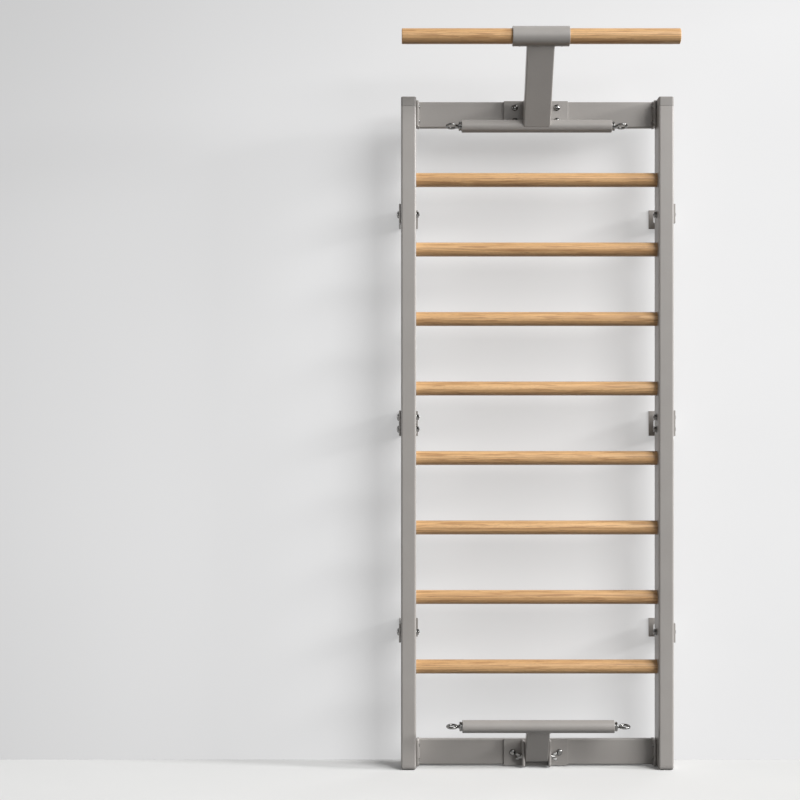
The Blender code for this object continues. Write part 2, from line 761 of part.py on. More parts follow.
def gusset_mesh(sign):
    """A plate between the top mount plate and the arm's back, above the eye bar."""
    low = TOP_EYE_AXIS.z + EYE_BAR_RADIUS + EYE_BAR_CLEARANCE
    high = TOP_CROSSBAR_LEVEL + END_PLATE_HEIGHT / 2 - WELD_LIP
    outline = [
        (MOUNT_PLATE_MIDDLE, low),
        (MOUNT_PLATE_MIDDLE, high),
        (arm_back(high), high),
        (arm_back(low), low),
    ]
    across = sign * (ARM_WIDTH / 2 - GUSSET_INSET - GUSSET_THICKNESS / 2)
    plate = moved(outline_mesh("gusset", outline, GUSSET_THICKNESS), STANDING)
    return shifted(plate, across, 0.0, 0.0)


def arm_back(level):
    """Depth of the arm's back face at a level, with the gap that a gusset keeps to it."""
    standoff = (ARM_DEPTH / 2 + GAP) / math.cos(ARM_TILT)
    return TOP_EYE_AXIS.y + standoff - (level - TOP_EYE_AXIS.z) * math.tan(ARM_TILT)


def build_pull_up_arm(bench):
    """A flat box tube, hollowed at its foot to sit on the eye bar, with the sleeve welded on top."""
    half = Vector((ARM_WIDTH / 2, ARM_DEPTH / 2, 0.0))
    start = Vector((0.0, 0.0, EYE_BAR_RADIUS - EYE_BAR_WRAP))
    end = Vector((0.0, 0.0, ARM_LENGTH))
    tube = box_mesh("pull_up_arm", start - half, end + half, 2, ARM_CORNER)
    arm = bench.part("pull_up_arm", tube, bench.paint, TOP_EYE_AXIS, (ARM_TILT, 0.0, 0.0))
    wall = Vector((ARM_WALL, ARM_WALL, -CUT_MARGIN))
    bench.shape(arm, box_mesh("hollow", start - half + wall, end + half - wall))
    bench.shape(arm, saddle_mesh(ARM_WIDTH, 0.0, EYE_BAR_RADIUS + GAP))
    bench.shape(arm, saddle_mesh(ARM_WIDTH, ARM_LENGTH, (SLEEVE_DIAMETER + SLEEVE_BORE) / 4))
    sleeve = tube_mesh("sleeve", SLEEVE_DIAMETER / 2, SLEEVE_BORE / 2, SLEEVE_LENGTH)
    bench.shape(arm, shifted(along_x(sleeve), 0.0, 0.0, ARM_LENGTH), "UNION")


def saddle_mesh(width, height, radius):
    """The rod across an arm that hollows its end for a round tube."""
    half = width / 2 + CUT_MARGIN
    return rod_mesh("saddle", radius, (-half, 0.0, height), (half, 0.0, height), ROUND_SIDES)


def eye_bar_mesh():
    """The round tube that carries an eye at each end."""
    inner = EYE_BAR_RADIUS - EYE_BAR_WALL
    return tube_mesh("eye_bar", EYE_BAR_RADIUS, inner, EYE_BAR_LENGTH, EYE_BAR_CHAMFER)


def build_eyes(bench, name, axis_point, tilt, parent=None):
    """A bush in each end of an eye bar and the eye that turns in it, left at a tilt."""
    bush = bush_mesh()
    for side, sign in SIDES.items():
        location = axis_point + Vector((sign * EYE_BAR_LENGTH / 2, 0.0, 0.0))
        turn = outward_turn(sign)
        bench.part(f"{name}_{side}_bush", bush, bench.zinc, location, turn, parent)
        build_eye(bench, f"{name}_{side}_eye", sign, axis_point, tilt, parent)


def bush_mesh():
    """A plug below Z = 0 that fills a tube's end, with a collar above it, bored for the shank."""
    bore = EYE_SHANK_DIAMETER / 2 + BOLT_CLEARANCE
    collar = COLLAR_DIAMETER / 2
    plug = EYE_BAR_RADIUS - EYE_BAR_WALL - GAP
    profile = [
        (bore, COLLAR_LENGTH),
        (collar - COLLAR_CHAMFER, COLLAR_LENGTH),
        (collar, COLLAR_LENGTH - COLLAR_CHAMFER),
        (collar, 0.0),
        (plug, 0.0),
        (plug, -BUSH_DEPTH),
        (bore, -BUSH_DEPTH),
    ]
    return turned_mesh("bush", profile, ROUND_SIDES, closed=True)


def build_eye(bench, name, sign, axis_point, tilt, parent):
    """A ring on a shank. Its origin is the ring's centre, on the axis it turns about."""
    bpy.ops.mesh.primitive_torus_add(
        major_radius=EYE_RING_MID_RADIUS,
        minor_radius=EYE_RING_SECTION / 2,
        major_segments=ROUND_SIDES,
        minor_segments=RING_SIDES,
    )
    blank = bpy.context.active_object
    ring = blank.data
    bpy.data.objects.remove(blank, do_unlink=True)
    ring.shade_smooth()
    turn = tilt if parent is None else tilt - parent.rotation_euler.x
    location = axis_point + Vector((sign * EYE_RING_CENTRE, 0.0, 0.0))
    eye = bench.part(name, ring, bench.zinc, location, (turn, 0.0, 0.0), parent)
    tail = EYE_BAR_LENGTH / 2 - BUSH_DEPTH - EYE_SHANK_TAIL
    shank = rod_mesh(
        "shank",
        EYE_SHANK_DIAMETER / 2,
        (sign * (tail - EYE_RING_CENTRE), 0.0, 0.0),
        (-sign * EYE_RING_MID_RADIUS, 0.0, 0.0),
        FASTENER_SIDES,
    )
    bench.shape(eye, shank, "UNION")


def build_anchor_unit(bench):
    """The bracket on the bottom crossbar, the hinged arm with its eye bar and the wing bolts."""
    ears = [ear_mesh(sign) for sign in SIDES.values()]
    bracket = build_mount(
        bench, "anchor_bracket", BOTTOM_CROSSBAR_LEVEL, bottom_bolt_places(), ears
    )
    reach = EAR_INNER + EAR_THICKNESS + CUT_MARGIN
    pin_hole = WING_SHANK_DIAMETER / 2 + BOLT_CLEARANCE
    across = Vector((reach, 0.0, 0.0))
    pin = rod_mesh("pin", pin_hole, PIVOT - across, PIVOT + across, FASTENER_SIDES)
    bench.shape(bracket, pin)
    hinge = bench.pivot("anchor_hinge", PIVOT, ANCHOR_ARM_TILT)
    build_anchor_arm(bench, hinge)
    axis_point = Vector((0.0, 0.0, ANCHOR_ARM_REACH))
    build_eyes(bench, "bottom", axis_point, BOTTOM_EYE_TILT, hinge)
    build_wing_bolts(bench)


def ear_mesh(sign):
    """A plate that stands out from the bottom mount plate, with rounded front corners."""
    low = BOTTOM_CROSSBAR_LEVEL - END_PLATE_HEIGHT / 2 + WELD_LIP
    high = BOTTOM_CROSSBAR_LEVEL + END_PLATE_HEIGHT / 2 - WELD_LIP
    front = PIVOT.y - EAR_NOSE + EAR_CORNER
    outline = [(MOUNT_PLATE_MIDDLE, low), (MOUNT_PLATE_MIDDLE, high)]
    outline += arc((front, high - EAR_CORNER), EAR_CORNER, math.pi / 2, math.pi)
    outline += arc((front, low + EAR_CORNER), EAR_CORNER, math.pi, 3 * math.pi / 2)
    across = sign * (EAR_INNER + EAR_THICKNESS / 2)
    plate = moved(outline_mesh("ear", outline, EAR_THICKNESS), STANDING)
    return shifted(plate, across, 0.0, 0.0)


def build_anchor_arm(bench, hinge):
    """An arm with a round hinge end and the eye bar welded across its top.

    It is hollow above the hinge, and the hollow runs into the eye bar's bore.
    """
    half_width = ANCHOR_ARM_WIDTH / 2
    half_depth = ANCHOR_ARM_DEPTH / 2
    top = ANCHOR_ARM_REACH - EYE_BAR_RADIUS + EYE_BAR_WRAP
    outline = [(half_depth, top), (-half_depth, top)]
    outline += arc((0.0, 0.0), half_depth, math.pi, 2 * math.pi, 2 * ARC_STEPS)
    body = moved(outline_mesh("anchor_arm", outline, ANCHOR_ARM_WIDTH), STANDING)
    arm = bench.part("anchor_arm", body, bench.paint, parent=hinge)
    tube_middle = EYE_BAR_RADIUS - EYE_BAR_WALL / 2
    bench.shape(arm, saddle_mesh(ANCHOR_ARM_WIDTH, ANCHOR_ARM_REACH, tube_middle))
    bench.shape(arm, shifted(along_x(eye_bar_mesh()), 0.0, 0.0, ANCHOR_ARM_REACH), "UNION")
    inner_width = half_width - ANCHOR_ARM_WALL
    inner_depth = half_depth - ANCHOR_ARM_WALL
    low = (-inner_width, -inner_depth, ANCHOR_SOLID_END)
    high = (inner_width, inner_depth, ANCHOR_ARM_REACH)
    bench.shape(arm, box_mesh("hollow", low, high))
    deep = half_width - WING_SHANK_BITE - GAP
    far = half_width + CUT_MARGIN
    radius = WING_SHANK_DIAMETER / 2 + BOLT_CLEARANCE
    bores = [
        rod_mesh("rod", radius, (sign * deep, 0, 0), (sign * far, 0, 0), FASTENER_SIDES)
        for sign in SIDES.values()
    ]
    bench.shape(arm, joined("pin_bores", bores))


def build_wing_bolts(bench):
    """A wing bolt through each ear into the arm. Its origin is on the hinge axis."""
    face = EAR_INNER + EAR_THICKNESS + GAP
    shank_length = face - ANCHOR_ARM_WIDTH / 2 + WING_SHANK_BITE
    shank = WING_SHANK_DIAMETER / 2
    flange = WING_FLANGE_DIAMETER / 2
    profile = [
        (0.0, WING_HUB_LENGTH),
        (WING_HUB_TIP_DIAMETER / 2, WING_HUB_LENGTH),
        (WING_HUB_DIAMETER / 2, WING_FLANGE_THICKNESS),
        (flange, WING_FLANGE_THICKNESS),
        (flange, 0.0),
        (shank, 0.0),
        (shank, -shank_length),
        (0.0, -shank_length),
    ]
    turns = {"left": LEFT_WING_TURN, "right": RIGHT_WING_TURN}
    for side, sign in SIDES.items():
        stand = Matrix.Translation((sign * face, 0, 0)) @ Matrix.Rotation(sign * math.pi / 2, 4, "Y")
        body = moved(turned_mesh(f"{side}_wing_bolt", profile, FASTENER_SIDES), stand)
        turn = (turns[side], 0.0, 0.0)
        bolt = bench.part(f"{side}_wing_bolt", body, bench.zinc, PIVOT, turn)
        for lobe in SIDES.values():
            bench.shape(bolt, moved(wing_mesh(lobe), stand), "UNION")


def wing_mesh(lobe):
    """One wing, a rounded plate that leans out from the hub's foot past the hub's top."""
    radius = WING_LOBE_DIAMETER / 2
    root = (lobe * radius / 2, WING_FLANGE_THICKNESS + radius / 2)
    tip = (lobe * (WING_SPAN / 2 - radius), WING_REACH - radius)
    wing = outline_mesh("wing", stadium(root, tip, radius), WING_THICKNESS)
    return moved(wing, Matrix.Rotation(math.pi / 2, 4, "X"))


def main():
    """Build every part of the wall bars."""
    clear_scene()
    bench = Bench()
    build_uprights(bench)
    build_ends(bench)
    build_rungs(bench)
    build_crossbars(bench)
    build_wall_brackets(bench)
    build_bracket_fasteners(bench)
    build_pull_up_unit(bench)
    build_anchor_unit(bench)


main()
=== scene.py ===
"""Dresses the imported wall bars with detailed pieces, finishes, plain studio light and a camera.

Metres, +Z up, front towards -Y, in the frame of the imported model.
"""

import logging
import math
from collections.abc import Callable, Iterable, Sequence
from dataclasses import dataclass, field
from enum import Enum
from typing import Any

import bmesh
import bpy
from mathutils import Matrix, Vector

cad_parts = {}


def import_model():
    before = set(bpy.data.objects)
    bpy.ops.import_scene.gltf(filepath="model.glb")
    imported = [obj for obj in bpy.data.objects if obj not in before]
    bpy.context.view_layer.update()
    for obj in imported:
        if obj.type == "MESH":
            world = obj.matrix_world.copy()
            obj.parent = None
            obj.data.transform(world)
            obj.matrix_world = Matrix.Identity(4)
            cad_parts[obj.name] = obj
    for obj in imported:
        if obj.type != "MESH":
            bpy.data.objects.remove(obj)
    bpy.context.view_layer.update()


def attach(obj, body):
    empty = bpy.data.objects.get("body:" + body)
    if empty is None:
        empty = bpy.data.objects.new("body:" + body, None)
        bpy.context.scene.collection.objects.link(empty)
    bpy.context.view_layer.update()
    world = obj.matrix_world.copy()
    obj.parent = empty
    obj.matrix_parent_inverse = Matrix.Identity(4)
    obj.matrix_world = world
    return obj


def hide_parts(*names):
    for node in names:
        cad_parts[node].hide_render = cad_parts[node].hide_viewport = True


LOG = logging.getLogger("wall_bars")

Material = bpy.types.Material
Mesh = bpy.types.Mesh
Node = bpy.types.Node
Socket = bpy.types.NodeSocket
Sockets = bpy.types.bpy_prop_collection
Tree = bpy.types.NodeTree
Point2 = tuple[float, float]
Point3 = tuple[float, float, float]
Colour = tuple[float, float, float]
Path = list[Vector]

QUARTER = math.pi / 2
FULL_TURN = 2 * math.pi
ROUND_SIDES = 96
FASTENER_SIDES = 48
HEXAGON = 6
# Pieces in the parts of a shape, by what is rounded or divided
EASE_STEPS = 5
CORNER_STEPS = 8
RIM_STEPS = 6
RIM_SEGMENTS = 3
END_STEPS = 12
DOME_STEPS = 14
HINGE_STEPS = 32
SEAM_STEPS = 4
ARC_STEPS = 16
LINE_STEPS = 8
ROD_RINGS = 40
EYE_SIDES = 72
EYE_SECTION_STEPS = 28
BEAD_SIDES = 10
BEAD_STEPS_IN_RIPPLE = 5.0
# The most of a side that one corner's rounding may take
SIDE_SHARE = 0.49
LEAST_RADIUS = 0.0002
MERGE = 0.000001
SMOOTH_ANGLE = math.radians(32.0)
# Curvature, per metre, at which an edge starts to show wear and at which it shows all of it
SOFT_CURVE = 150.0
SHARP_CURVE = 900.0
EDGE_MARK = "edge"
GRAIN_MARK = "grain_place"
RUNG_MARK = "rung"
TURN_MARK = "turn"
# How far, either way, a rung's place in the wood that it was cut from may be moved
CUT_SPREAD: Point3 = (1.0, 0.03, 0.03)
UNIT: Point2 = (0.0, 1.0)
MIDDLE_HALF: Point2 = (0.25, 0.75)
# The straight rim under a bolt's dome, and the share of any such rim that is chamfered
DOME_FOOT = 0.0009
FOOT_CHAMFER = 0.3
# A socket screw's stem and socket as shares of its head's diameter
SCREW_STEM = 0.21
SOCKET_REACH = 0.29
# Its straight rim, the socket's floor and the cutter's top as shares of its head's height
SCREW_FOOT = 0.16
SOCKET_FLOOR = 0.36
SOCKET_TOP = 2.0
# Puts an outline's X on Y and its Y on Z, so that its thickness lies along X
STANDING = Matrix(((0, 0, 1, 0), (1, 0, 0, 0), (0, 1, 0, 0), (0, 0, 0, 1)))
# Lays a shape made about Z along X, with its own X hanging down
ALONG_X = Matrix.Rotation(QUARTER, 4, "Y")
# Turns a shape made about Z to face the front, with its own Y standing up
FACING_FRONT = Matrix.Rotation(QUARTER, 4, "X")


class Slot(Enum):
    """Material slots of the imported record."""

    PAINT = "paint"
    PLASTIC = "plastic"
    WOOD = "wood"
    ZINC = "zinc"


class Kept(Enum):
    """What a cut leaves of a mesh: the part outside or inside the tool."""

    OUTSIDE = "DIFFERENCE"
    INSIDE = "INTERSECT"


class Side(Enum):
    """The two sides of the frame, by the sign of X."""

    LEFT = -1
    RIGHT = 1

    @property
    def label(self) -> str:
        """The word that node names use for this side."""
        return self.name.lower()

    @property
    def outwards(self) -> Vector:
        """The way from the frame's middle to this side."""
        return Vector((self.value, 0.0, 0.0))


@dataclass
class NodeCanvas:
    """Adds nodes to a node tree and links what feeds them."""

    tree: Tree

    def feed(self, node: Node, feeds: dict[str | int, Any]) -> None:
        """Link or set a node's inputs.

        Args:
            node: The node.
            feeds: For an input's name or number, the socket that feeds it or its value.
        """
        for key, value in feeds.items():
            if isinstance(value, Socket):
                self.tree.links.new(value, node.inputs[key])
            else:
                node.inputs[key].default_value = value

    def add(self, kind: str, feeds: dict[str | int, Any] | None = None, **settings: Any) -> Node:
        """Add a node.

        Args:
            kind: Blender's name of the node type.
            feeds: For an input's name or number, the socket that feeds it or its value.
            settings: Properties of the node, set before its inputs.

        Returns:
            The new node.
        """
        node = self.tree.nodes.new(kind)
        for name, value in settings.items():
            setattr(node, name, value)
        self.feed(node, feeds or {})
        return node

    def math(self, operation: str, *values: Any) -> Socket:
        """Add a Math node on up to three values and return its result."""
        return self.add("ShaderNodeMath", dict(enumerate(values)), operation=operation).outputs[0]

    def vector_math(self, operation: str, *values: Any) -> Socket:
        """Add a Vector Math node on two vectors and return its result."""
        feeds = dict(enumerate(values))
        return self.add("ShaderNodeVectorMath", feeds, operation=operation).outputs[0]

    def noise(self, vector: Any, scale: Any, detail: float) -> Socket:
        """Add a Noise Texture and return its value."""
        feeds = {"Vector": vector, "Scale": scale, "Detail": detail}
        return self.add("ShaderNodeTexNoise", feeds).outputs[0]

    def spread(self, value: Any, source: Point2, target: Point2) -> Socket:
        """Map one range of a value to another, held at its ends, and return the result."""
        feeds = {0: value, 1: source[0], 2: source[1], 3: target[0], 4: target[1]}
        return self.add("ShaderNodeMapRange", feeds).outputs[0]

    def mix(self, share: Any, first: Any, second: Any) -> Socket:
        """Mix two colours and return the result."""
        feeds = {0: share, 6: first, 7: second}
        return self.add("ShaderNodeMix", feeds, data_type="RGBA").outputs[2]


def rgba(colour: Colour) -> tuple[float, float, float, float]:
    """A colour with full cover."""
    return (*colour, 1.0)


@dataclass(frozen=True)
class GrainLayer:
    """A noise drawn out along the grain: its waves in a metre, its detail and what is used."""

    along: float
    across: float
    detail: float
    window: Point2 = UNIT

    def draw(self, canvas: NodeCanvas, place: Socket) -> Socket:
        """Add the noise on a place in the wood and return it, its window spread over 0 to 1."""
        drawn_out = canvas.vector_math("MULTIPLY", place, (self.along, self.across, self.across))
        return canvas.spread(canvas.noise(drawn_out, 1.0, self.detail), self.window, UNIT)


@dataclass
class ShaderEffects:
    """Shader groups that several finishes share, each built once."""

    skin_detail: float = 3.0
    patch_scale: float = 9.0
    patch_detail: float = 4.0
    patch_window: Point2 = (0.3, 0.7)
    speck_scale: float = 0.45
    speck_detail: float = 1.0
    speck_window: Point2 = (0.62, 0.72)
    wear_detail: float = 4.0
    wear_window: Point2 = (0.35, 0.65)
    wear_shares: Point2 = (0.25, 1.0)
    sway: GrainLayer = GrainLayer(2.2, 26.0, 2.0)
    sway_gain: float = 4.0
    ripple: GrainLayer = GrainLayer(9.0, 160.0, 2.0)
    ripple_gain: float = 1.0
    streaks: GrainLayer = GrainLayer(9.0, 230.0, 3.0, (0.54, 0.64))
    pores: GrainLayer = GrainLayer(70.0, 1400.0, 1.0, (0.56, 0.7))
    fibres: GrainLayer = GrainLayer(14.0, 620.0, 3.0, MIDDLE_HALF)
    tone: GrainLayer = GrainLayer(1.6, 34.0, 2.0, (0.3, 0.7))
    late_wood_rise: Point2 = (0.30, 0.90)
    late_wood_end: Point2 = (0.95, 1.0)
    pore_band: Point2 = (0.0, 0.5)
    pore_shares: Point2 = (1.0, 0.25)
    fine_texture: Tree = field(init=False)
    edge_wear: Tree = field(init=False)
    oak_grain: Tree = field(init=False)

    def __post_init__(self) -> None:
        """Build the groups."""
        self.fine_texture = self.build_fine_texture()
        self.edge_wear = self.build_edge_wear()
        self.oak_grain = self.build_oak_grain()

    @staticmethod
    def start(
        name: str, inputs: dict[str, float], outputs: Sequence[str]
    ) -> tuple[NodeCanvas, Sockets]:
        """Open a new shader group with value sockets.

        Args:
            name: The group's name.
            inputs: Each input's name and default.
            outputs: Names of the outputs.

        Returns:
            A canvas on the group, and the sockets that give its inputs.
        """
        tree = bpy.data.node_groups.new(name, "ShaderNodeTree")
        kind = "NodeSocketFloat"
        for title, default in inputs.items():
            socket = tree.interface.new_socket(title, in_out="INPUT", socket_type=kind)
            socket.default_value = default
        for title in outputs:
            tree.interface.new_socket(title, in_out="OUTPUT", socket_type=kind)
        canvas = NodeCanvas(tree)
        return canvas, canvas.add("NodeGroupInput").outputs

    def build_fine_texture(self) -> Tree:
        """A sprayed or moulded skin: a fine height, soft patches and small specks.

        Returns:
            The group.
        """
        outputs = ("Height", "Patches", "Specks")
        canvas, given = self.start("fine_texture", {"Grain Size": 0.001}, outputs)
        place = canvas.add("ShaderNodeTexCoord").outputs["Object"]
        scale = canvas.math("DIVIDE", 1.0, given["Grain Size"])
        patches = canvas.noise(place, self.patch_scale, self.patch_detail)
        coarse = canvas.math("MULTIPLY", scale, self.speck_scale)
        specks = canvas.noise(place, coarse, self.speck_detail)
        made = {
            "Height": canvas.noise(place, scale, self.skin_detail),
            "Patches": canvas.spread(patches, self.patch_window, UNIT),
            "Specks": canvas.spread(specks, self.speck_window, UNIT),
        }
        canvas.add("NodeGroupOutput", made)
        return canvas.tree

    def build_edge_wear(self) -> Tree:
        """Rubbed edges: the mark that meshes carry on sharp edges, broken up by noise.

        Returns:
            The group.
        """
        canvas, given = self.start("edge_wear", {"Patch Size": 0.02, "Amount": 0.5}, ("Mask",))
        place = canvas.add("ShaderNodeTexCoord").outputs["Object"]
        marked = canvas.add("ShaderNodeAttribute", attribute_name=EDGE_MARK).outputs["Fac"]
        scale = canvas.math("DIVIDE", 1.0, given["Patch Size"])
        patches = canvas.noise(place, scale, self.wear_detail)
        broken = canvas.spread(patches, self.wear_window, self.wear_shares)
        worn = canvas.math("MULTIPLY", marked, broken)
        canvas.add("NodeGroupOutput", {"Mask": canvas.math("MULTIPLY", worn, given["Amount"])})
        return canvas.tree

    def build_oak_grain(self) -> Tree:
        """Oak along local X: late wood lines, pores, fibres and slow changes of tone.

        Returns:
            The group.
        """
        outputs = ("Rings", "Streaks", "Pores", "Fibres", "Tone")
        canvas, given = self.start("oak_grain", {"Ring Width": 0.004, "Waviness": 0.006}, outputs)
        place = canvas.add("ShaderNodeAttribute", attribute_name=GRAIN_MARK).outputs["Vector"]
        level = canvas.add("ShaderNodeSeparateXYZ", {0: place}).outputs["Z"]
        for layer, gain in ((self.sway, self.sway_gain), (self.ripple, self.ripple_gain)):
            swing = canvas.math("SUBTRACT", layer.draw(canvas, place), 0.5)
            bend = canvas.math("MULTIPLY", canvas.math("MULTIPLY", swing, given["Waviness"]), gain)
            level = canvas.math("ADD", level, bend)
        phase = canvas.math("FRACT", canvas.math("DIVIDE", level, given["Ring Width"]))
        rising = canvas.spread(phase, self.late_wood_rise, UNIT)
        ending = canvas.spread(phase, self.late_wood_end, (1.0, 0.0))
        near_ring = canvas.spread(phase, self.pore_band, self.pore_shares)
        made = {
            "Rings": canvas.math("MULTIPLY", rising, ending),
            "Streaks": self.streaks.draw(canvas, place),
            "Pores": canvas.math("MULTIPLY", self.pores.draw(canvas, place), near_ring),
            "Fibres": self.fibres.draw(canvas, place),
            "Tone": self.tone.draw(canvas, place),
        }
        canvas.add("NodeGroupOutput", made)
        return canvas.tree


def open_material(name: str) -> tuple[Material, NodeCanvas, Node]:
    """Start a node material.

    Args:
        name: The material's name.

    Returns:
        The material, a canvas on its tree and its Principled shader.
    """
    material = bpy.data.materials.new(name)
    material.use_nodes = True
    tree = material.node_tree
    return material, NodeCanvas(tree), tree.nodes["Principled BSDF"]


@dataclass(frozen=True)
class HardFinish:
    """Paint, plastic or plating: soft patches, specks, a fine bump and rubbed edges."""

    name: str
    colour: Colour
    patch_colour: Colour
    speck_colour: Colour
    worn_colour: Colour
    roughness: Point2
    metallic: float
    grain_size: float
    bump: float
    wear: float
    speck_cover: float = 0.35
    bump_depth: float = 0.0004

    def make(self, effects: ShaderEffects) -> Material:
        """Build the material.

        Args:
            effects: The shared shader groups.

        Returns:
            The new material.
        """
        material, canvas, shader = open_material(self.name)
        size = {"Grain Size": self.grain_size}
        skin = canvas.add("ShaderNodeGroup", size, node_tree=effects.fine_texture).outputs
        rubbed = canvas.add("ShaderNodeGroup", {"Amount": self.wear}, node_tree=effects.edge_wear)
        specks = canvas.math("MULTIPLY", skin["Specks"], self.speck_cover)
        colour = canvas.mix(skin["Patches"], rgba(self.colour), rgba(self.patch_colour))
        colour = canvas.mix(specks, colour, rgba(self.speck_colour))
        colour = canvas.mix(rubbed.outputs["Mask"], colour, rgba(self.worn_colour))
        relief = {"Strength": self.bump, "Distance": self.bump_depth, "Height": skin["Height"]}
        looks = {
            "Base Color": colour,
            "Roughness": canvas.spread(skin["Height"], MIDDLE_HALF, self.roughness),
            "Metallic": self.metallic,
            "Normal": canvas.add("ShaderNodeBump", relief).outputs[0],
        }
        canvas.feed(shader, looks)
        return material


@dataclass(frozen=True)
class OakFinish:
    """Clear oiled oak with its grain along each rod."""

    name: str
    pale: Colour
    honey: Colour
    late_wood: Colour
    pore: Colour
    ring_width: float
    waviness: float
    roughness: Point2
    ring_cover: float = 0.5
    streak_cover: float = 0.62
    fibre_cover: float = 0.28
    pore_cover: float = 0.6
    bump: float = 0.25
    bump_depth: float = 0.0003

    def make(self, effects: ShaderEffects) -> Material:
        """Build the material.

        Args:
            effects: The shared shader groups.

        Returns:
            The new material.
        """
        material, canvas, shader = open_material(self.name)
        sizes = {"Ring Width": self.ring_width, "Waviness": self.waviness}
        grain = canvas.add("ShaderNodeGroup", sizes, node_tree=effects.oak_grain).outputs
        colour = canvas.mix(grain["Tone"], rgba(self.honey), rgba(self.pale))
        covers = {
            "Rings": (self.ring_cover, self.late_wood),
            "Streaks": (self.streak_cover, self.late_wood),
            "Fibres": (self.fibre_cover, self.late_wood),
            "Pores": (self.pore_cover, self.pore),
        }
        for layer, (cover, tint) in covers.items():
            colour = canvas.mix(canvas.math("MULTIPLY", grain[layer], cover), colour, rgba(tint))
        height = canvas.math("SUBTRACT", grain["Fibres"], grain["Pores"])
        relief = {"Strength": self.bump, "Distance": self.bump_depth, "Height": height}
        looks = {
            "Base Color": colour,
            "Roughness": canvas.spread(grain["Fibres"], UNIT, self.roughness),
            "Normal": canvas.add("ShaderNodeBump", relief).outputs[0],
        }
        canvas.feed(shader, looks)
        return material


@dataclass(frozen=True)
class StudioFinish:
    """A plain pale surface of the studio, which can be see-through from behind.

    Away from a centre its colour and glow fall off towards black. This is a painted shade that
    stands in for light falling off, with a reach where that starts and ends and a share of the
    colour that is left there.
    """

    name: str
    colour: Colour
    bounce: Colour
    glow: float
    one_sided: bool
    bright_spot: Point3
    fade_shape: Point3
    fade_reach: Point2
    faded: float
    roughness: float = 0.9
    cloud_scale: float = 1.3
    cloud_detail: float = 2.0
    cloud_window: Point2 = (0.3, 0.7)
    cloud_dip: float = 0.965

    def make(self) -> Material:
        """Build the material.

        Returns:
            The new material.
        """
        material, canvas, shader = open_material(self.name)
        place = canvas.add("ShaderNodeTexCoord").outputs["Object"]
        clouds = canvas.noise(place, self.cloud_scale, self.cloud_detail)
        dimmer = tuple(self.cloud_dip * part for part in self.colour)
        cloudy = canvas.spread(clouds, self.cloud_window, UNIT)
        colour = canvas.mix(cloudy, rgba(self.colour), rgba(dimmer))
        # Painted shade: colour and glow are darkened towards black with distance from the painted
        # light centre, as if the light fell off there.
        offset_from_painted_light = canvas.vector_math("SUBTRACT", place, self.bright_spot)
        offset_from_painted_light = canvas.vector_math("MULTIPLY", offset_from_painted_light, self.fade_shape)
        distance_from_painted_light = canvas.add("ShaderNodeVectorMath", {0: offset_from_painted_light}, operation="LENGTH").outputs["Value"]
        left = canvas.spread(distance_from_painted_light, self.fade_reach, (1.0, self.faded))
        colour = canvas.mix(left, rgba((0.0, 0.0, 0.0)), colour)
        seen = self.seen_share(canvas)
        glow = canvas.math("MULTIPLY", seen, self.glow)
        looks = {
            "Base Color": canvas.mix(seen, rgba(self.bounce), colour),
            "Emission Strength": canvas.math("MULTIPLY", glow, left),
            "Roughness": self.roughness,
            "Specular IOR Level": 0.0,
        }
        canvas.feed(shader, looks)
        if self.one_sided:
            self.open_behind(canvas, shader)
        return material

    @staticmethod
    def seen_share(canvas: NodeCanvas) -> Socket:
        """Tell what is seen from what only sends light on.

        Args:
            canvas: Takes the nodes.

        Returns:
            1 where the camera, a reflection or glass looks, 0 where light only bounces.
        """
        path = canvas.add("ShaderNodeLightPath").outputs
        seen = canvas.math("MAXIMUM", path["Is Camera Ray"], path["Is Transmission Ray"])
        return canvas.math("MAXIMUM", seen, path["Is Glossy Ray"])

    @staticmethod
    def open_behind(canvas: NodeCanvas, shader: Node) -> None:
        """Make a surface clear from behind, and clear to the lamps.

        Args:
            canvas: The canvas on the material.
            shader: The surface's own shader.
        """
        clear = canvas.add("ShaderNodeBsdfTransparent").outputs[0]
        behind = canvas.add("ShaderNodeNewGeometry").outputs["Backfacing"]
        shade = canvas.add("ShaderNodeLightPath").outputs["Is Shadow Ray"]
        share = canvas.math("MAXIMUM", behind, shade)
        mixed = canvas.add("ShaderNodeMixShader", {0: share, 1: shader.outputs[0], 2: clear})
        canvas.feed(canvas.tree.nodes["Material Output"], {"Surface": mixed.outputs[0]})
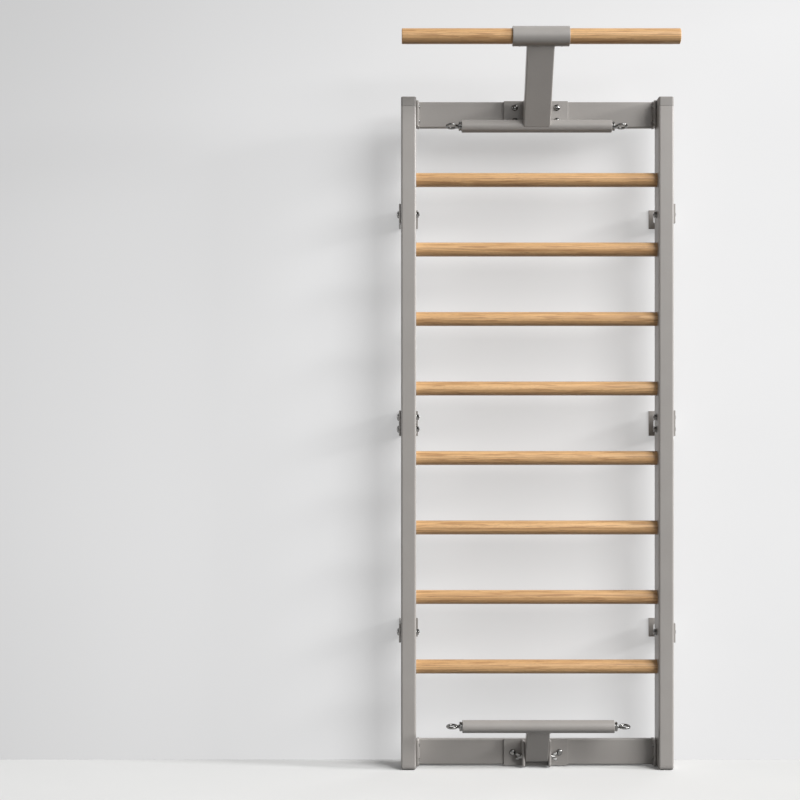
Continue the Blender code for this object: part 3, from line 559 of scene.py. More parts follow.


# Painted shade: the floor's colour and glow are darkened away from a painted light centre to its
# left, down to 0.62 of themselves.
PALE_FLOOR = StudioFinish(
    name="pale_floor",
    colour=(0.74, 0.74, 0.732),
    bounce=(0.10, 0.10, 0.10),
    glow=0.05,
    one_sided=False,
    bright_spot=(-1.2, 0.0, 0.0),
    fade_shape=(1.0, 1.0, 0.0),
    fade_reach=(1.2, 4.5),
    faded=0.62,
)
# Painted shade: the backdrop's colour and glow are darkened towards its left and top, away from a
# painted light centre on the right, down to 0.76 of themselves.
PALE_BACKDROP = StudioFinish(
    name="pale_backdrop",
    colour=(0.40, 0.40, 0.403),
    bounce=(0.26, 0.26, 0.26),
    glow=0.42,
    one_sided=True,
    bright_spot=(1.2, 0.0, 0.6),
    fade_shape=(1.0, 0.0, 1.3),
    fade_reach=(2.2, 3.6),
    faded=0.76,
)
FINISHES: dict[Slot, HardFinish | OakFinish] = {
    Slot.PAINT: HardFinish(
        name="warm_grey_powder_coat",
        colour=(0.312, 0.293, 0.276),
        patch_colour=(0.334, 0.315, 0.297),
        speck_colour=(0.39, 0.37, 0.355),
        worn_colour=(0.50, 0.485, 0.465),
        roughness=(0.28, 0.40),
        metallic=0.0,
        grain_size=0.0011,
        bump=0.16,
        wear=0.30,
    ),
    Slot.PLASTIC: HardFinish(
        name="grey_moulded_plastic",
        colour=(0.255, 0.241, 0.227),
        patch_colour=(0.270, 0.256, 0.242),
        speck_colour=(0.30, 0.286, 0.27),
        worn_colour=(0.36, 0.345, 0.33),
        roughness=(0.46, 0.62),
        metallic=0.0,
        grain_size=0.0007,
        bump=0.30,
        wear=0.25,
    ),
    Slot.WOOD: OakFinish(
        name="oiled_oak",
        pale=(0.78, 0.495, 0.245),
        honey=(0.66, 0.395, 0.182),
        late_wood=(0.31, 0.152, 0.058),
        pore=(0.16, 0.080, 0.036),
        ring_width=0.0056,
        waviness=0.0035,
        roughness=(0.31, 0.46),
    ),
    Slot.ZINC: HardFinish(
        name="bright_zinc_plating",
        colour=(0.235, 0.232, 0.225),
        patch_colour=(0.200, 0.198, 0.193),
        speck_colour=(0.17, 0.17, 0.168),
        worn_colour=(0.40, 0.395, 0.385),
        roughness=(0.10, 0.20),
        metallic=1.0,
        grain_size=0.0009,
        bump=0.05,
        wear=0.35,
    ),
}


def as_mesh(bm: bmesh.types.BMesh) -> Mesh:
    """Weld a bmesh, turn its faces outwards and write it to a new mesh.

    Args:
        bm: The shape, which is freed.

    Returns:
        The new mesh.
    """
    bmesh.ops.remove_doubles(bm, verts=bm.verts, dist=MERGE)
    bmesh.ops.recalc_face_normals(bm, faces=bm.faces)
    mesh = bpy.data.meshes.new("shape")
    bm.to_mesh(mesh)
    bm.free()
    return mesh


def moved(mesh: Mesh, *matrices: Matrix) -> Mesh:
    """Put a mesh in its place.

    Args:
        mesh: The mesh, which is changed.
        matrices: Its moves, of which the last one comes first.

    Returns:
        The same mesh.
    """
    place = Matrix.Identity(4)
    for matrix in matrices:
        place = place @ matrix
    mesh.transform(place)
    return mesh


def shift(x: float, y: float, z: float) -> Matrix:
    """A move without a turn."""
    return Matrix.Translation((x, y, z))


def aim(place: Vector, direction: Vector) -> Matrix:
    """A place for a shape made about Z, with its Z along a direction."""
    turn = direction.normalized().to_track_quat("Z", "Y").to_matrix().to_4x4()
    return Matrix.Translation(place) @ turn


def joined(meshes: Iterable[Mesh]) -> Mesh:
    """One mesh that holds several.

    Args:
        meshes: Meshes to take in, which are removed.

    Returns:
        The new mesh.
    """
    bm = bmesh.new()
    for mesh in meshes:
        bm.from_mesh(mesh)
        bpy.data.meshes.remove(mesh)
    made = bpy.data.meshes.new("shape")
    bm.to_mesh(made)
    bm.free()
    return made


def eased(corners: Sequence[Point3], steps: int = EASE_STEPS, closed: bool = True) -> list[Point2]:
    """Round the corners of a line.

    Args:
        corners: For each corner, its place and how far along its sides the rounding starts.
        steps: Pieces in each rounding.
        closed: Whether the last corner joins the first.

    Returns:
        The rounded line.
    """
    spots = [Vector(corner[:2]) for corner in corners]
    line: list[Point2] = []
    for i, (x, y, reach) in enumerate(corners):
        if reach <= 0.0 or (not closed and i in (0, len(corners) - 1)):
            line.append((x, y))
            continue
        here = spots[i]
        before = spots[i - 1] - here
        after = spots[(i + 1) % len(spots)] - here
        start = here + before.normalized() * min(reach, SIDE_SHARE * before.length)
        end = here + after.normalized() * min(reach, SIDE_SHARE * after.length)
        for step in range(steps + 1):
            t = step / steps
            spot = start * (1 - t) ** 2 + here * (2 * t * (1 - t)) + end * t**2
            line.append((spot.x, spot.y))
    return line


def rounded_rectangle(width: float, depth: float, radius: float, steps: int) -> list[Point2]:
    """Outline of a rounded rectangle about the origin.

    Args:
        width: Size along X.
        depth: Size along Y.
        radius: Corner radius.
        steps: Pieces in each corner.

    Returns:
        The outline, anticlockwise.
    """
    outline = []
    corners = ((1, 1), (-1, 1), (-1, -1), (1, -1))
    for quarter, (across, along) in enumerate(corners):
        for step in range(steps + 1):
            angle = QUARTER * (quarter + step / steps)
            x = across * (width / 2 - radius) + radius * math.cos(angle)
            y = along * (depth / 2 - radius) + radius * math.sin(angle)
            outline.append((x, y))
    return outline


def rounded_bar(
    size: Point3, low: float, high: float, low_rim: float = 0.0, high_rim: float = 0.0
) -> Mesh:
    """A bar along Z with rounded long edges and rounded rims.

    Args:
        size: Width, depth and radius of the long edges.
        low: Level of the lower end.
        high: Level of the upper end.
        low_rim: Radius of the lower end's rim.
        high_rim: Radius of the upper end's rim.

    Returns:
        The new mesh.
    """
    width, depth, radius = size
    rows: list[Point2] = []
    for rim, level, up in ((low_rim, low, 1), (high_rim, high, -1)):
        turns = [QUARTER * i / RIM_STEPS for i in range(RIM_STEPS + 1)] if rim > 0.0 else [QUARTER]
        row = [(rim * (1 - math.sin(a)), level + up * rim * (1 - math.cos(a))) for a in turns]
        rows += row[::up]
    bm = bmesh.new()
    rings = []
    for inset, level in rows:
        left = max(radius - inset, LEAST_RADIUS)
        outline = rounded_rectangle(width - 2 * inset, depth - 2 * inset, left, CORNER_STEPS)
        rings.append([bm.verts.new((x, y, level)) for x, y in outline])
    for lower, upper in zip(rings, rings[1:]):
        for i in range(len(lower)):
            j = (i + 1) % len(lower)
            bm.faces.new((lower[i], lower[j], upper[j], upper[i]))
    bm.faces.new(rings[0])
    bm.faces.new(rings[-1])
    return as_mesh(bm)


def turned(profile: Sequence[Point2], sides: int = ROUND_SIDES, closed: bool = False) -> Mesh:
    """Turn a profile about Z.

    Args:
        profile: Points of radius and height.
        sides: Number of sides.
        closed: Whether the last point joins the first, as for a tube.

    Returns:
        The new mesh.
    """
    bm = bmesh.new()
    rows = []
    for radius, height in profile:
        around = sides if radius > MERGE else 1
        angles = [FULL_TURN * i / sides for i in range(around)]
        row = [(radius * math.cos(a), radius * math.sin(a), height) for a in angles]
        rows.append([bm.verts.new(spot) for spot in row])
    pairs = list(zip(rows, rows[1:]))
    if closed:
        pairs.append((rows[-1], rows[0]))
    for lower, upper in pairs:
        for i in range(sides):
            j = i + 1
            ring = (
                lower[i % len(lower)],
                lower[j % len(lower)],
                upper[j % len(upper)],
                upper[i % len(upper)],
            )
            bm.faces.new(list(dict.fromkeys(ring)))
    return as_mesh(bm)


def tube(outer: float, inner: float, length: float, rim: float) -> Mesh:
    """A round tube about Z, centred on the origin, with eased rims.

    Args:
        outer: Outer radius.
        inner: Inner radius.
        length: Length.
        rim: How far the outer rims are eased. The inner ones are eased half as far.

    Returns:
        The new mesh.
    """
    half, inner_rim = length / 2, rim / 2
    upper = [(inner, half, inner_rim), (outer, half, rim)]
    lower = [(outer, -half, rim), (inner, -half, inner_rim)]
    return turned(eased(upper + lower), closed=True)


def plate(outline: Sequence[Point2], thickness: float, rim: float) -> Mesh:
    """A flat plate in X and Y, centred on Z = 0, with rounded rims.

    Args:
        outline: The plate's outline.
        thickness: The plate's thickness.
        rim: Radius of both rims.

    Returns:
        The new mesh.
    """
    bm = bmesh.new()
    face = bm.faces.new([bm.verts.new((x, y, -thickness / 2)) for x, y in outline])
    grown = bmesh.ops.extrude_face_region(bm, geom=[face])["geom"]
    raised = [item for item in grown if isinstance(item, bmesh.types.BMVert)]
    bmesh.ops.translate(bm, verts=raised, vec=(0.0, 0.0, thickness))
    bmesh.ops.recalc_face_normals(bm, faces=bm.faces)
    rims = [edge for edge in bm.edges if abs(edge.verts[0].co.z - edge.verts[1].co.z) < MERGE]
    bmesh.ops.bevel(
        bm, geom=rims, offset=rim, segments=RIM_SEGMENTS, profile=0.5, affect="EDGES"
    )
    return as_mesh(bm)


def stadium(start: Point2, end: Point2, radius: float) -> list[Point2]:
    """Outline of the band that keeps a radius from a line.

    Args:
        start: One end of the line.
        end: The other end.
        radius: The band's half width.

    Returns:
        The outline, anticlockwise.
    """
    heading = math.atan2(end[1] - start[1], end[0] - start[0])
    outline = []
    for (x, y), turn in ((end, heading - QUARTER), (start, heading + QUARTER)):
        for step in range(END_STEPS + 1):
            angle = turn + math.pi * step / END_STEPS
            outline.append((x + radius * math.cos(angle), y + radius * math.sin(angle)))
    return outline


def evaluated(obj: bpy.types.Object) -> Mesh:
    """Turn an object with modifiers into a plain mesh.

    Args:
        obj: The object, which is removed with its mesh.

    Returns:
        The new mesh.
    """
    bpy.context.scene.collection.objects.link(obj)
    graph = bpy.context.evaluated_depsgraph_get()
    made = bpy.data.meshes.new_from_object(
        obj.evaluated_get(graph), preserve_all_data_layers=True, depsgraph=graph
    )
    source = obj.data
    bpy.data.objects.remove(obj, do_unlink=True)
    bpy.data.meshes.remove(source)
    return made


def cut(mesh: Mesh, tool: Mesh, kept: Kept = Kept.OUTSIDE) -> Mesh:
    """Cut a mesh with another.

    Args:
        mesh: The mesh to cut, which is removed.
        tool: The cutting mesh, which is removed.
        kept: The part that is left.

    Returns:
        The cut mesh.
    """
    blank = bpy.data.objects.new("blank", mesh)
    cutter = bpy.data.objects.new("cutter", tool)
    bpy.context.scene.collection.objects.link(cutter)
    boolean = blank.modifiers.new("cut", "BOOLEAN")
    boolean.operation = kept.value
    boolean.solver = "EXACT"
    boolean.object = cutter
    made = evaluated(blank)
    bpy.data.objects.remove(cutter, do_unlink=True)
    bpy.data.meshes.remove(tool)
    return made


def mark_edges(mesh: Mesh) -> None:
    """Write each point's share of edge wear, from how tightly the surface bends there.

    Args:
        mesh: The mesh, which takes the shares as an attribute.
    """
    bm = bmesh.new()
    bm.from_mesh(mesh)
    bends = [0.0] * len(bm.verts)
    for edge in bm.edges:
        if len(edge.link_faces) != 2:
            continue
        first, second = (face.calc_center_median() for face in edge.link_faces)
        bend = edge.calc_face_angle_signed(0.0) / max((first - second).length, MERGE)
        for vert in edge.verts:
            bends[vert.index] = max(bends[vert.index], bend)
    bm.free()
    shares = [min(max((b - SOFT_CURVE) / (SHARP_CURVE - SOFT_CURVE), 0.0), 1.0) for b in bends]
    mesh.attributes.new(EDGE_MARK, "FLOAT", "POINT").data.foreach_set("value", shares)


def settled(mesh: Mesh) -> Mesh:
    """Mark a mesh's edges and give it smooth, even normals.

    Args:
        mesh: The finished shape, which is removed.

    Returns:
        The same shape, ready for a piece.
    """
    mark_edges(mesh)
    mesh.shade_smooth()
    mesh.set_sharp_from_angle(angle=SMOOTH_ANGLE)
    blank = bpy.data.objects.new("blank", mesh)
    even = blank.modifiers.new("even_normals", "WEIGHTED_NORMAL")
    even.keep_sharp = True
    return evaluated(blank)


@dataclass
class NodeTool:
    """A Geometry Nodes tree with named inputs, run on a mesh to make a plain mesh."""

    name: str
    inputs: dict[str, str]
    draw: Callable[[NodeCanvas, Sockets], Socket]
    tree: Tree = field(init=False)

    def __post_init__(self) -> None:
        """Build the tree: its inputs, what draw adds, Set Material and the output."""
        self.tree = bpy.data.node_groups.new(self.name, "GeometryNodeTree")
        shape = {"Geometry": "NodeSocketGeometry"}
        for title, kind in {**shape, **self.inputs, "Finish": "NodeSocketMaterial"}.items():
            self.tree.interface.new_socket(title, in_out="INPUT", socket_type=kind)
        for title, kind in shape.items():
            self.tree.interface.new_socket(title, in_out="OUTPUT", socket_type=kind)
        canvas = NodeCanvas(self.tree)
        given = canvas.add("NodeGroupInput").outputs
        feeds = {"Geometry": self.draw(canvas, given), "Material": given["Finish"]}
        dressed = canvas.add("GeometryNodeSetMaterial", feeds)
        canvas.add("NodeGroupOutput", {"Geometry": dressed.outputs[0]})

    def run(self, mesh: Mesh, **values: Any) -> Mesh:
        """Run the tree.

        Args:
            mesh: The mesh that it starts from, which is removed.
            values: The inputs by name, with underscores for spaces.

        Returns:
            The mesh that it makes.
        """
        blank = bpy.data.objects.new("blank", mesh)
        modifier = blank.modifiers.new(self.name, "NODES")
        modifier.node_group = self.tree
        for item in self.tree.interface.items_tree:
            key = item.name.replace(" ", "_").lower()
            if item.in_out == "INPUT" and key in values:
                modifier[item.identifier] = values[key]
        return evaluated(blank)


def draw_placed(canvas: NodeCanvas, given: Sockets) -> Socket:
    """Put a copy of the fastener at every point, turned as the point says.

    Args:
        canvas: Takes the nodes.
        given: The tree's inputs.

    Returns:
        The copies as one shape.
    """
    turn = canvas.add(
        "GeometryNodeInputNamedAttribute", {"Name": TURN_MARK}, data_type="FLOAT_VECTOR"
    )
    rotation = canvas.add("FunctionNodeEulerToRotation", {0: turn.outputs[0]})
    shape = canvas.add("GeometryNodeObjectInfo", {"Object": given["Fastener"]})
    copies = {
        "Points": given["Geometry"],
        "Instance": shape.outputs["Geometry"],
        "Rotation": rotation.outputs[0],
    }
    placed = canvas.add("GeometryNodeInstanceOnPoints", copies)
    return canvas.add("GeometryNodeRealizeInstances", {0: placed.outputs[0]}).outputs[0]


def draw_bead(canvas: NodeCanvas, given: Sockets) -> Socket:
    """Lay a rippled bead along every line of edges.

    Args:
        canvas: Takes the nodes.
        given: The tree's inputs.

    Returns:
        The beads as one shape.
    """
    line = canvas.add("GeometryNodeMeshToCurve", {0: given["Geometry"]}).outputs[0]
    step = canvas.math("DIVIDE", given["Ripple Pitch"], BEAD_STEPS_IN_RIPPLE)
    feeds = {"Curve": line, "Length": step}
    even = canvas.add("GeometryNodeResampleCurve", feeds, mode="LENGTH").outputs[0]
    run = canvas.add("GeometryNodeSplineParameter").outputs["Length"]
    phase = canvas.math("DIVIDE", run, given["Ripple Pitch"])
    wave = canvas.math("SINE", canvas.math("MULTIPLY", phase, FULL_TURN))
    swell = canvas.math("MULTIPLY_ADD", wave, given["Ripple Depth"], 1.0)
    section = {"Resolution": BEAD_SIDES, "Radius": 1.0}
    sweep = {
        "Curve": even,
        "Profile Curve": canvas.add("GeometryNodeCurvePrimitiveCircle", section).outputs[0],
        "Scale": canvas.math("MULTIPLY", swell, given["Bead Radius"]),
        "Fill Caps": True,
    }
    bead = canvas.add("GeometryNodeCurveToMesh", sweep)
    return canvas.add("GeometryNodeRealizeInstances", {0: bead.outputs[0]}).outputs[0]


def draw_rungs(canvas: NodeCanvas, given: Sockets) -> Socket:
    """A column of rods along X, each with its own place in the wood it was cut from.

    Args:
        canvas: Takes the nodes.
        given: The tree's inputs.

    Returns:
        The rods as one shape.
    """
    depth, first, pitch, seed = (given[name] for name in ("Depth", "First Level", "Pitch", "Seed"))
    start = canvas.add("ShaderNodeCombineXYZ", {"Y": depth, "Z": first}).outputs[0]
    offset = canvas.add("ShaderNodeCombineXYZ", {"Z": pitch}).outputs[0]
    line = {"Count": given["Count"], "Start Location": start, "Offset": offset}
    column = canvas.add("GeometryNodeMeshLine", line).outputs[0]
    index = canvas.add("GeometryNodeInputIndex").outputs[0]
    feeds = {0: column, "Name": RUNG_MARK, "Value": index}
    numbered = canvas.add("GeometryNodeStoreNamedAttribute", feeds, data_type="INT").outputs[0]
    rod_sizes = {
        "Vertices": given["Sides"],
        "Side Segments": ROD_RINGS,
        "Radius": given["Radius"],
        "Depth": given["Length"],
    }
    rod = canvas.add("GeometryNodeMeshCylinder", rod_sizes).outputs[0]
    feeds = {"Geometry": rod, "Rotation": (0.0, QUARTER, 0.0)}
    lying = canvas.add("GeometryNodeTransform", feeds).outputs[0]
    copies = {"Points": numbered, "Instance": lying}
    placed = canvas.add("GeometryNodeInstanceOnPoints", copies).outputs[0]
    rods = canvas.add("GeometryNodeRealizeInstances", {0: placed}).outputs[0]
    feeds = {"Name": RUNG_MARK}
    number = canvas.add("GeometryNodeInputNamedAttribute", feeds, data_type="INT").outputs[0]
    feeds = {2: 0.0, 3: FULL_TURN, "ID": number, "Seed": seed}
    turn = canvas.add("FunctionNodeRandomValue", feeds).outputs[1]
    feeds = {0: tuple(-part for part in CUT_SPREAD), 1: CUT_SPREAD, "ID": number, "Seed": seed}
    move = canvas.add("FunctionNodeRandomValue", feeds, data_type="FLOAT_VECTOR").outputs[0]
    level = canvas.math("MULTIPLY_ADD", number, pitch, first)
    centre = canvas.add("ShaderNodeCombineXYZ", {"Y": depth, "Z": level}).outputs[0]
    place = canvas.add("GeometryNodeInputPosition").outputs[0]
    local = canvas.vector_math("SUBTRACT", place, centre)
    feeds = {"Vector": local, "Axis": (1.0, 0.0, 0.0), "Angle": turn}
    rolled = canvas.add("ShaderNodeVectorRotate", feeds).outputs[0]
    feeds = {0: rods, "Name": GRAIN_MARK, "Value": canvas.vector_math("ADD", rolled, move)}
    marked = canvas.add("GeometryNodeStoreNamedAttribute", feeds, data_type="FLOAT_VECTOR")
    return marked.outputs[0]


@dataclass
class Workshop:
    """Puts finished pieces in the scene, with one material for each slot and shared tools."""

    materials: dict[Slot, Material]
    ripple_pitch: float = 0.0022
    ripple_depth: float = 0.14
    fasteners: NodeTool = field(init=False)
    beads: NodeTool = field(init=False)

    def __post_init__(self) -> None:
        """Build the tools."""
        self.fasteners = NodeTool("placed_fasteners", {"Fastener": "NodeSocketObject"}, draw_placed)
        floats = ("Bead Radius", "Ripple Pitch", "Ripple Depth")
        self.beads = NodeTool("weld_bead", dict.fromkeys(floats, "NodeSocketFloat"), draw_bead)

    def add(
        self,
        name: str,
        mesh: Mesh,
        slot: Slot,
        stands_for: Sequence[str] = (),
        body: str = "frame",
    ) -> None:
        """Add a piece that rides on a body.

        Args:
            name: The piece's name.
            mesh: Its mesh, in place.
            slot: Its material slot.
            stands_for: CAD nodes that it replaces.
            body: The body that it rides on.
        """
        made = settled(mesh)
        made.name = name
        made.materials.clear()
        made.materials.append(self.materials[slot])
        piece = bpy.data.objects.new(name, made)
        bpy.context.scene.collection.objects.link(piece)
        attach(piece, body)
        if stands_for:
            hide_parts(*stands_for)
        LOG.info("%s: %d faces on %s", name, len(made.polygons), body)

    def add_fasteners(
        self, name: str, shape: Mesh, spots: Sequence[Matrix], stands_for: Sequence[str] = ()
    ) -> None:
        """Add zinc-plated copies of one fastener as one piece on the frame.

        Args:
            name: The piece's name.
            shape: The fastener, made about Z, which is removed.
            spots: The place and turn of each copy.
            stands_for: CAD nodes that they replace.
        """
        points = bpy.data.meshes.new("points")
        points.from_pydata([spot.translation for spot in spots], [], [])
        turns = [part for spot in spots for part in spot.to_euler()]
        points.attributes.new(TURN_MARK, "FLOAT_VECTOR", "POINT").data.foreach_set("vector", turns)
        model = bpy.data.objects.new("fastener", shape)
        bpy.context.scene.collection.objects.link(model)
        made = self.fasteners.run(points, fastener=model, finish=self.materials[Slot.ZINC])
        bpy.data.objects.remove(model, do_unlink=True)
        bpy.data.meshes.remove(shape)
        self.add(name, made, Slot.ZINC, stands_for)

    def add_welds(
        self, name: str, lines: Sequence[Path], radius: float, body: str = "frame"
    ) -> None:
        """Add painted weld beads along lines as one piece.

        Args:
            name: The piece's name.
            lines: The lines, where one that ends at its start is a loop.
            radius: The beads' radius.
            body: The body that they ride on.
        """
        spots: Path = []
        edges: list[tuple[int, int]] = []
        for line in lines:
            start = len(spots)
            loop = (line[0] - line[-1]).length < MERGE
            kept = line[:-1] if loop else line
            spots += kept
            edges += [(start + i, start + i + 1) for i in range(len(kept) - 1)]
            if loop:
                edges.append((start + len(kept) - 1, start))
        paths = bpy.data.meshes.new("paths")
        paths.from_pydata(spots, edges, [])
        made = self.beads.run(
            paths,
            bead_radius=radius,
            ripple_pitch=self.ripple_pitch,
            ripple_depth=self.ripple_depth,
            finish=self.materials[Slot.PAINT],
        )
        self.add(name, made, Slot.PAINT, body=body)


@dataclass(frozen=True)
class FrameSizes:
    """Sizes that several sub-assemblies share."""

    clear_width: float = 0.720
    upright_width: float = 0.045
    upright_depth: float = 0.085
    upright_height: float = 2.000
    front: float = -0.005
    wall: float = 0.153
    gap: float = 0.0003
    rung_diameter: float = 0.042
    rung_count: int = 8
    lowest_rung: float = 0.302
    rung_pitch: float = 0.208
    plate_front: float = 0.0527
    plate_back: float = 0.0587
    plate_width: float = 0.192
    plate_height: float = 0.080
    plate_bite: float = 0.003
    edge_inset: float = 0.001
    weld_inset: float = 0.002
    top_level: float = 1.9575
    bottom_level: float = 0.0425
    eye_bar_diameter: float = 0.038
    eye_bar_wall: float = 0.003
    eye_bar_length: float = 0.448
    eye_bar_rim: float = 0.0016

    @property
    def back(self) -> float:
        """Depth of the uprights' back faces."""
        return self.front + self.upright_depth

    @property
    def mid_depth(self) -> float:
        """Depth of the uprights' middle."""
        return self.front + self.upright_depth / 2

    @property
    def inner(self) -> float:
        """Distance of the uprights' inner faces from the middle."""
        return self.clear_width / 2

    @property
    def outer(self) -> float:
        """Distance of the uprights' outer faces from the middle."""
        return self.clear_width / 2 + self.upright_width

    @property
    def rung_levels(self) -> list[float]:
        """Height of each rung's axis."""
        return [self.lowest_rung + i * self.rung_pitch for i in range(self.rung_count)]

    @property
    def plate_root(self) -> float:
        """Depth, inside the mount plates, where what is welded to them starts."""
        return self.plate_back - self.plate_bite


@dataclass
class Uprights:
    """Both steel tubes with their plugged caps and feet."""

    sizes: FrameSizes
    corner: float = 0.006
    cap_height: float = 0.028
    foot_height: float = 0.010
    cap_rim: float = 0.004
    foot_rim: float = 0.0075
    seam_rim: float = 0.0007
    hole_chamfer: float = 0.0007
    hole_depth: float = 0.006
    hole_lead: float = 0.001

    def dress(self, shop: Workshop) -> None:
        """Add the tube, the cap and the foot of each side.

        Args:
            shop: Takes the pieces.
        """
        s = self.sizes
        size = (s.upright_width, s.upright_depth, self.corner)
        low = self.foot_height + s.gap
        high = s.upright_height - self.cap_height - s.gap
        for side in Side:
            place = shift(side.value * (s.inner + s.upright_width / 2), s.mid_depth, 0.0)
            bar = moved(rounded_bar(size, low, high, self.seam_rim, self.seam_rim), place)
            node = f"{side.label}_upright"
            shop.add(f"{node}_tube", cut(bar, self.rung_holes(side)), Slot.PAINT, [node])
            cap = rounded_bar(size, high + s.gap, s.upright_height, self.seam_rim, self.cap_rim)
            foot = rounded_bar(size, 0.0, self.foot_height, self.foot_rim, self.seam_rim)
            for end, moulding in (("top_cap", cap), ("foot", foot)):
                node = f"{side.label}_{end}"
                shop.add(f"{node}_moulding", moved(moulding, place), Slot.PLASTIC, [node])

    def rung_holes(self, side: Side) -> Mesh:
        """Blind round holes in one upright's inner face, with chamfered rims.

        Args:
            side: The upright's side.

        Returns:
            The cutting mesh.
        """
        s = self.sizes
        radius = s.rung_diameter / 2 + s.gap
        profile = [
            (0.0, -self.hole_lead),
            (radius + self.hole_chamfer + self.hole_lead, -self.hole_lead),
            (radius, self.hole_chamfer),
            (radius, self.hole_depth),
            (0.0, self.hole_depth),
        ]
        holes = []
        for level in s.rung_levels:
            spot = Vector((side.value * s.inner, s.mid_depth, level))
            holes.append(moved(turned(profile), aim(spot, side.outwards)))
        return joined(holes)


@dataclass
class Rungs:
    """The round oak rungs between the uprights."""

    sizes: FrameSizes
    tube_wall: float = 0.0025
    sides: int = 72
    seed: int = 11

    def dress(self, shop: Workshop) -> None:
        """Make all rungs with one tree and add them as one piece.

        Args:
            shop: Takes the piece.
        """
        s = self.sizes
        floats = ("First Level", "Pitch", "Depth", "Length", "Radius")
        kinds = {
            **dict.fromkeys(floats, "NodeSocketFloat"),
            **dict.fromkeys(("Count", "Sides", "Seed"), "NodeSocketInt"),
        }
        made = NodeTool("rung_column", kinds, draw_rungs).run(
            bpy.data.meshes.new("rungs"),
            first_level=s.lowest_rung,
            pitch=s.rung_pitch,
            depth=s.mid_depth,
            length=2 * (s.outer - self.tube_wall - s.gap),
            radius=s.rung_diameter / 2,
            count=s.rung_count,
            sides=self.sides,
            seed=self.seed,
            finish=shop.materials[Slot.WOOD],
        )
        nodes = [f"rung_{number}" for number in range(1, s.rung_count + 1)]
        shop.add("oak_rungs", made, Slot.WOOD, nodes)


def dome_profile(diameter: float, height: float, foot: float) -> list[Point2]:
    """A domed head above Z = 0, from its crown to its rim.

    Args:
        diameter: The head's diameter.
        height: The head's height.
        foot: Height of the straight rim below the dome.

    Returns:
        The profile, which ends at the head's underside.
    """
    radius, chamfer = diameter / 2, FOOT_CHAMFER * foot
    turns = [QUARTER * step / DOME_STEPS for step in range(DOME_STEPS + 1)]
    line = [(radius * math.sin(a), foot + (height - foot) * math.cos(a)) for a in turns]
    return [*line, (radius, chamfer), (radius - chamfer, 0.0)]


def headed(profile: list[Point2], stem: float, shank: float) -> Mesh:
    """A head with a plain round shank below it.

    Args:
        profile: The head's profile, which ends at its underside.
        stem: The shank's radius.
        shank: How far the shank goes below the head.

    Returns:
        The new mesh.
    """
    line = [*profile, (stem, 0.0), (stem, -shank), (0.0, -shank)]
    return turned(line, FASTENER_SIDES)


def socket_screw(diameter: float, height: float, shank: float) -> Mesh:
    """A domed screw with a six-sided socket, its head above Z = 0.

    Args:
        diameter: The head's diameter.
        height: The head's height.
        shank: How far the shank goes below the head.

    Returns:
        The new mesh.
    """
    profile = dome_profile(diameter, height, SCREW_FOOT * height)
    reach, floor, top = SOCKET_REACH * diameter, SOCKET_FLOOR * height, SOCKET_TOP * height
    socket = turned([(0.0, floor), (reach, floor), (reach, top), (0.0, top)], HEXAGON)
    return cut(headed(profile, SCREW_STEM * diameter, shank), socket)


